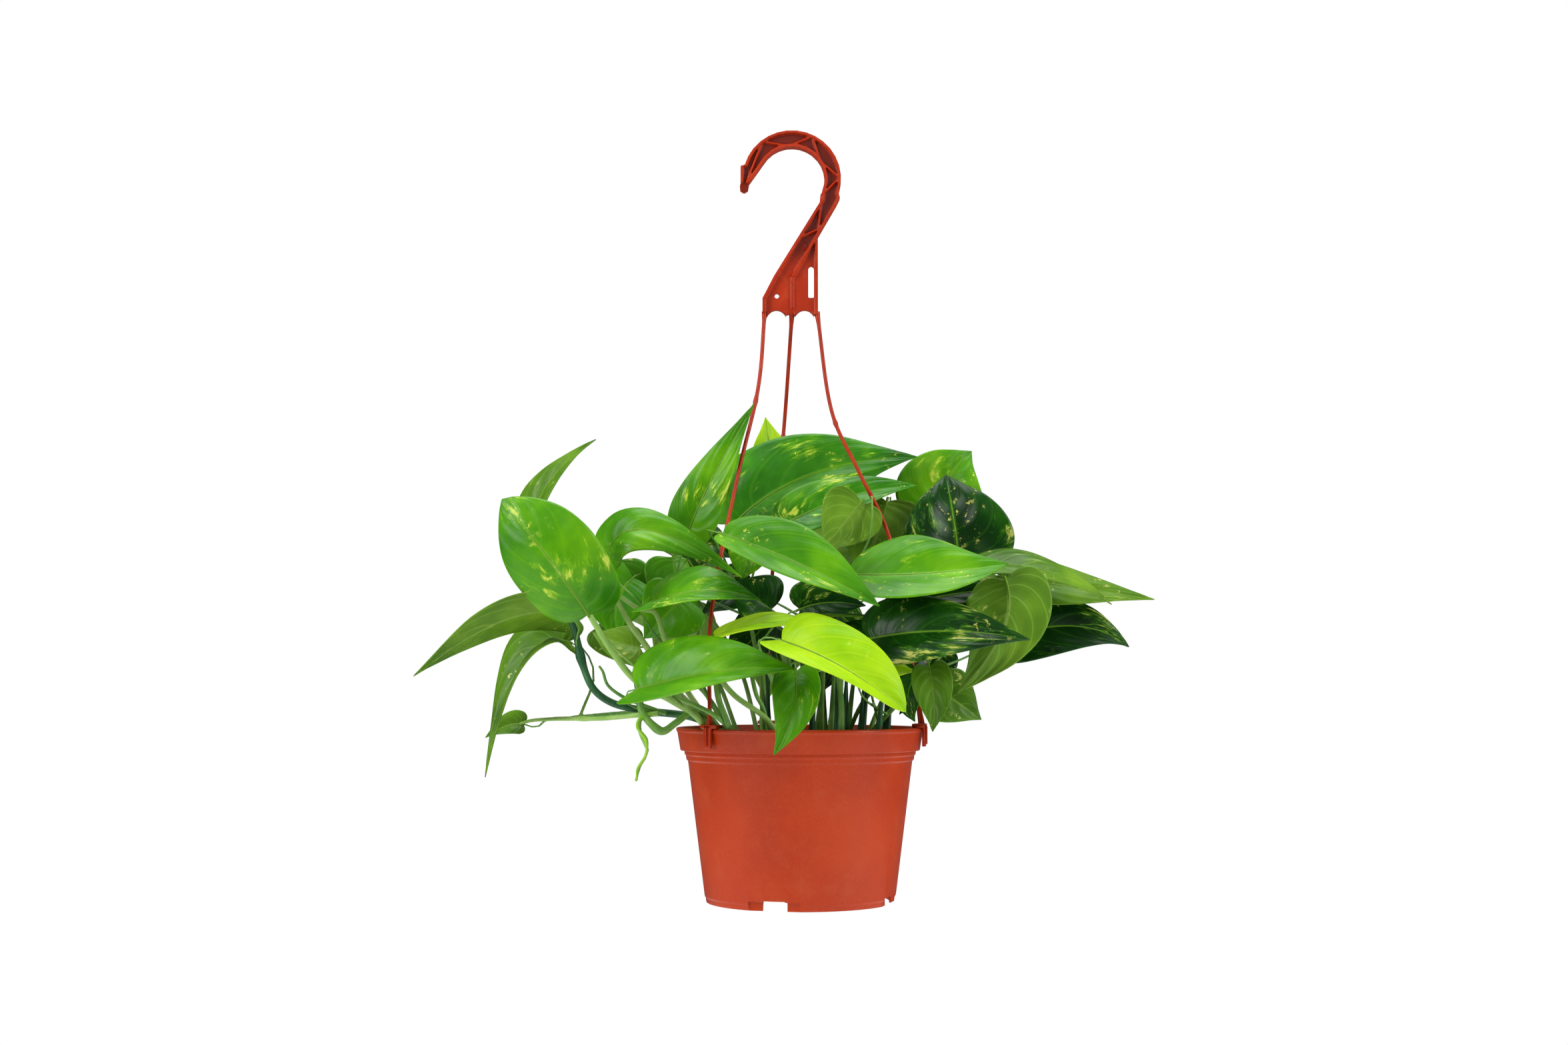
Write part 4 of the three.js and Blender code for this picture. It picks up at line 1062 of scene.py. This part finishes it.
def rimClip(degrees, name):
    # top bar, outer tab with its fin, and the inner lip
    turn = math.radians(degrees)
    outside = -rimRadius - 0.3 * mm
    lip = potLook["wall"] + 2.7 * mm
    pieces = []
    for width, depth, tall, y, z in (
            (12 * mm, lip + 2.5 * mm, 2.2 * mm, lip / 2 - 0.45 * mm, 1.4 * mm),
            (6 * mm, 1.7 * mm, 13.5 * mm, -0.85 * mm, -4.55 * mm),
            (1.2 * mm, 2.6 * mm, 11 * mm, -1.6 * mm, -4.4 * mm),
            (5 * mm, 1.5 * mm, 5 * mm, lip, 0)):
        bpy.ops.mesh.primitive_cube_add(size=1, location=(0, outside + y, z), scale=(width, depth, tall))
        block = bpy.context.object
        applyPlace(block)
        roundEdges(block, hangerLook["clipRounding"], 3)
        pieces.append(block)
    clip = joinPieces(pieces, name)
    clip.rotation_euler = (0, 0, turn)
    clip.location = rimCentre
    applyPlace(clip)
    return clip


def strandTube(line, collars):
    bumps = [(share, 0.45 * mm, 0.008) for share in collars]
    bumps += [(0.0, 0.7 * mm, 0.02), (1.0, 0.9 * mm, 0.02)]
    radius = hangerLook["strandRadius"]
    return tube(curveThrough(line, 16), radius, radius, "strand", 12, bumps)


def platePin(x, y, z):
    bpy.ops.mesh.primitive_cylinder_add(vertices=24, radius=hangerLook["pinRadius"],
                                        depth=hangerLook["pinDepth"], location=fromRim(x, y, z),
                                        rotation=(math.pi / 2, 0, 0))
    pin = bpy.context.object
    applyPlace(pin)
    roundEdges(pin, hangerLook["pinRounding"], 2)
    return pin


def makeHanger():
    pieces = [hookBody()]
    for line, collars, degrees in zip(strandPoints(), hangerLook["collars"], hangerLook["clipTurns"]):
        pieces += [strandTube(line, collars), rimClip(degrees, "clip")]
    for x, z in hangerLook["pins"]:
        pieces += [platePin(x, side * hangerLook["pinPlace"], z) for side in (-1, 1)]
    hanger = joinPieces(pieces, "hook_and_strands")
    smooth(hanger, 35)
    finishPiece(hanger, ["hanger"], hangerMaterial())
    print("hanger built,", len(hanger.data.vertices), "points")


makeHanger()


# ---------- soil ----------

soilLook = {
    "seed": 5, "crumbs": 1.6 * mm, "skinDepth": 9 * mm,
    "openShare": 0.84,         # of the rim's radius
    "tones": ((0.010, 0.005, 0.003), (0.036, 0.019, 0.010), (0.085, 0.048, 0.026)), "grain": 520,
    "chips": 90, "chipSizes": (2.0, 5.5), "chipGrain": 700,
    "chipTones": ((0.030, 0.014, 0.007), (0.085, 0.040, 0.020), (0.180, 0.095, 0.048)),
    "perlite": 40, "perliteSizes": (1.2, 2.6), "perliteGrain": 900,
    "perliteTones": ((0.42, 0.40, 0.36), (0.66, 0.64, 0.60), (0.82, 0.81, 0.78)),
}


def soilMaterial(name, tones, grainScale):
    n = Nodes(name)
    place = n.objectPlace()
    grains = n.cells(place, grainScale)
    colour = n.ramp(n.noise(place, grainScale * 0.5, 5, 0.7), list(zip((0.3, 0.52, 0.75), tones)))
    colour = n.tint(colour, tones[0], n.inverse(n.step(grains, 0.1, 0.45)), 0.4)
    bump = n.bump(n.noise(place, grainScale * 2, 4, 0.7), 0.6, 0.5 * mm)
    bump = n.bump(grains, 0.4, 0.4 * mm, bump)
    roughness = n.math("ADD", 0.8, n.math("MULTIPLY", grains, 0.15))
    n.set(Base_Color=colour, Roughness=roughness, Normal=bump, Specular_IOR_Level=0.25)
    return n.material


def soilBed(top, openRadius):
    bed = mergedCopy("soil", "potting_soil")
    remesh = bed.modifiers.new("even skin", "REMESH")
    remesh.mode = "VOXEL"
    remesh.voxel_size = 1.5 * mm
    applyModifiers(bed)
    for vertex in bed.data.vertices:
        radius = math.hypot(vertex.co.x - rimCentre.x, vertex.co.y - rimCentre.y)
        if vertex.co.z < top - soilLook["skinDepth"] or radius > openRadius:
            continue
        coarse = noise.noise(vertex.co * 160)
        fine = noise.noise(vertex.co * 520)
        vertex.co.z += (coarse * 0.9 + fine * 0.8) * soilLook["crumbs"] - 0.4 * mm
    smooth(bed, 60)
    return bed


def looseBit(draw, sizes, top, openRadius):
    angle = draw.uniform(0, 2 * math.pi)
    radius = openRadius * math.sqrt(draw.random())
    size = draw.uniform(*sizes) * mm
    spot = Vector((rimCentre.x + radius * math.cos(angle), rimCentre.y + radius * math.sin(angle),
                   top - 0.6 * mm + size * 0.05))
    turn = [draw.uniform(0, 6) for k in range(3)]
    stretch = (draw.uniform(0.8, 1.5), draw.uniform(0.6, 1.0), draw.uniform(0.35, 0.7))
    bpy.ops.mesh.primitive_ico_sphere_add(subdivisions=1, radius=size * 0.5, location=spot,
                                          rotation=turn, scale=stretch)
    bit = bpy.context.object
    for vertex in bit.data.vertices:
        vertex.co *= draw.uniform(0.75, 1.2)
    applyPlace(bit)
    return bit


def makeSoil():
    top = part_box("soil")[1].z
    openRadius = rimRadius * soilLook["openShare"]
    bed = soilBed(top, openRadius)
    soil = soilMaterial("pottingSoil", soilLook["tones"], soilLook["grain"])
    finishPiece(bed, ["soil"], soil)
    draw = random.Random(soilLook["seed"])
    for name, kind, materialName in (("bark_chips", "chip", "bark"), ("perlite_bits", "perlite", "perlite")):
        count = soilLook["chips" if kind == "chip" else kind]
        material = soilMaterial(materialName, soilLook[kind + "Tones"], soilLook[kind + "Grain"])
        bits = [looseBit(draw, soilLook[kind + "Sizes"], top, openRadius) for i in range(count)]
        finishPiece(joinPieces(bits, name), [], material)
    print("soil built")


makeSoil()


# ---------- light and floor ---------------------------------

studio = {
    "world": 0.13, "backdrop": 1.0,
    "floorDrop": 300 * mm, "floorRadius": 1.1, "floorGrey": 0.92, "floorGlow": 0.22,
    "boxes": {                 # place from the pot's rim in metres, width, height, watts
        "left box": ((-0.95, -0.65, 0.45), 0.45, 1.2, 14),
        "right box": ((1.10, -0.50, 0.35), 0.35, 1.2, 12),
        "front box": ((0.25, -1.6, 0.9), 0.9, 0.7, 2.5),
        "top box": ((0.0, 0.15, 1.1), 0.9, 0.8, 10),
    },
}


def softBox(name, place, width, height, power):
    aim = rimCentre + Vector((0, 0, 60 * mm))
    data = bpy.data.lights.new(name, "AREA")
    data.shape = "RECTANGLE"
    data.size = width
    data.size_y = height
    data.energy = power
    lamp = bpy.data.objects.new(name, data)
    lamp.location = aim + Vector(place)
    lamp.rotation_euler = (-Vector(place)).to_track_quat("-Z", "Y").to_euler()
    bpy.context.scene.collection.objects.link(lamp)


def makeStudio():
    # an even pale surround; what the camera sees of it is brighter than what it sheds
    world = bpy.data.worlds.new("studioWorld")
    world.use_nodes = True
    tree = world.node_tree
    background = tree.nodes["Background"]
    background.inputs["Color"].default_value = (1.0, 1.0, 1.0, 1)
    path = tree.nodes.new("ShaderNodeLightPath")
    strength = tree.nodes.new("ShaderNodeMapRange")
    strength.inputs["To Min"].default_value = studio["world"]
    strength.inputs["To Max"].default_value = studio["backdrop"]
    tree.links.new(path.outputs["Is Camera Ray"], strength.inputs["Value"])
    tree.links.new(strength.outputs["Result"], background.inputs["Strength"])
    bpy.context.scene.world = world
    bpy.context.scene.view_settings.view_transform = "Standard"
    for name, (place, width, height, power) in studio["boxes"].items():
        softBox(name, place, width, height, power)
    bpy.ops.mesh.primitive_circle_add(vertices=128, radius=studio["floorRadius"], fill_type="NGON",
                                      location=(rimCentre.x, rimCentre.y, potLow.z - studio["floorDrop"]))
    floor = bpy.context.object
    floor.name = "pale_floor"
    n = Nodes("paleFloor")
    grey = studio["floorGrey"]
    mottled = n.ramp(n.noise(n.objectPlace(), 3, 2),
                     [(0.3, (grey, grey, grey)), (0.7, (grey + 0.02, grey + 0.02, grey + 0.015))])
    n.set(Base_Color=mottled, Emission_Color=mottled)
    n.set(Roughness=0.8, Emission_Strength=studio["floorGlow"])
    floor.data.materials.append(n.material)
    print("studio set")


makeStudio()
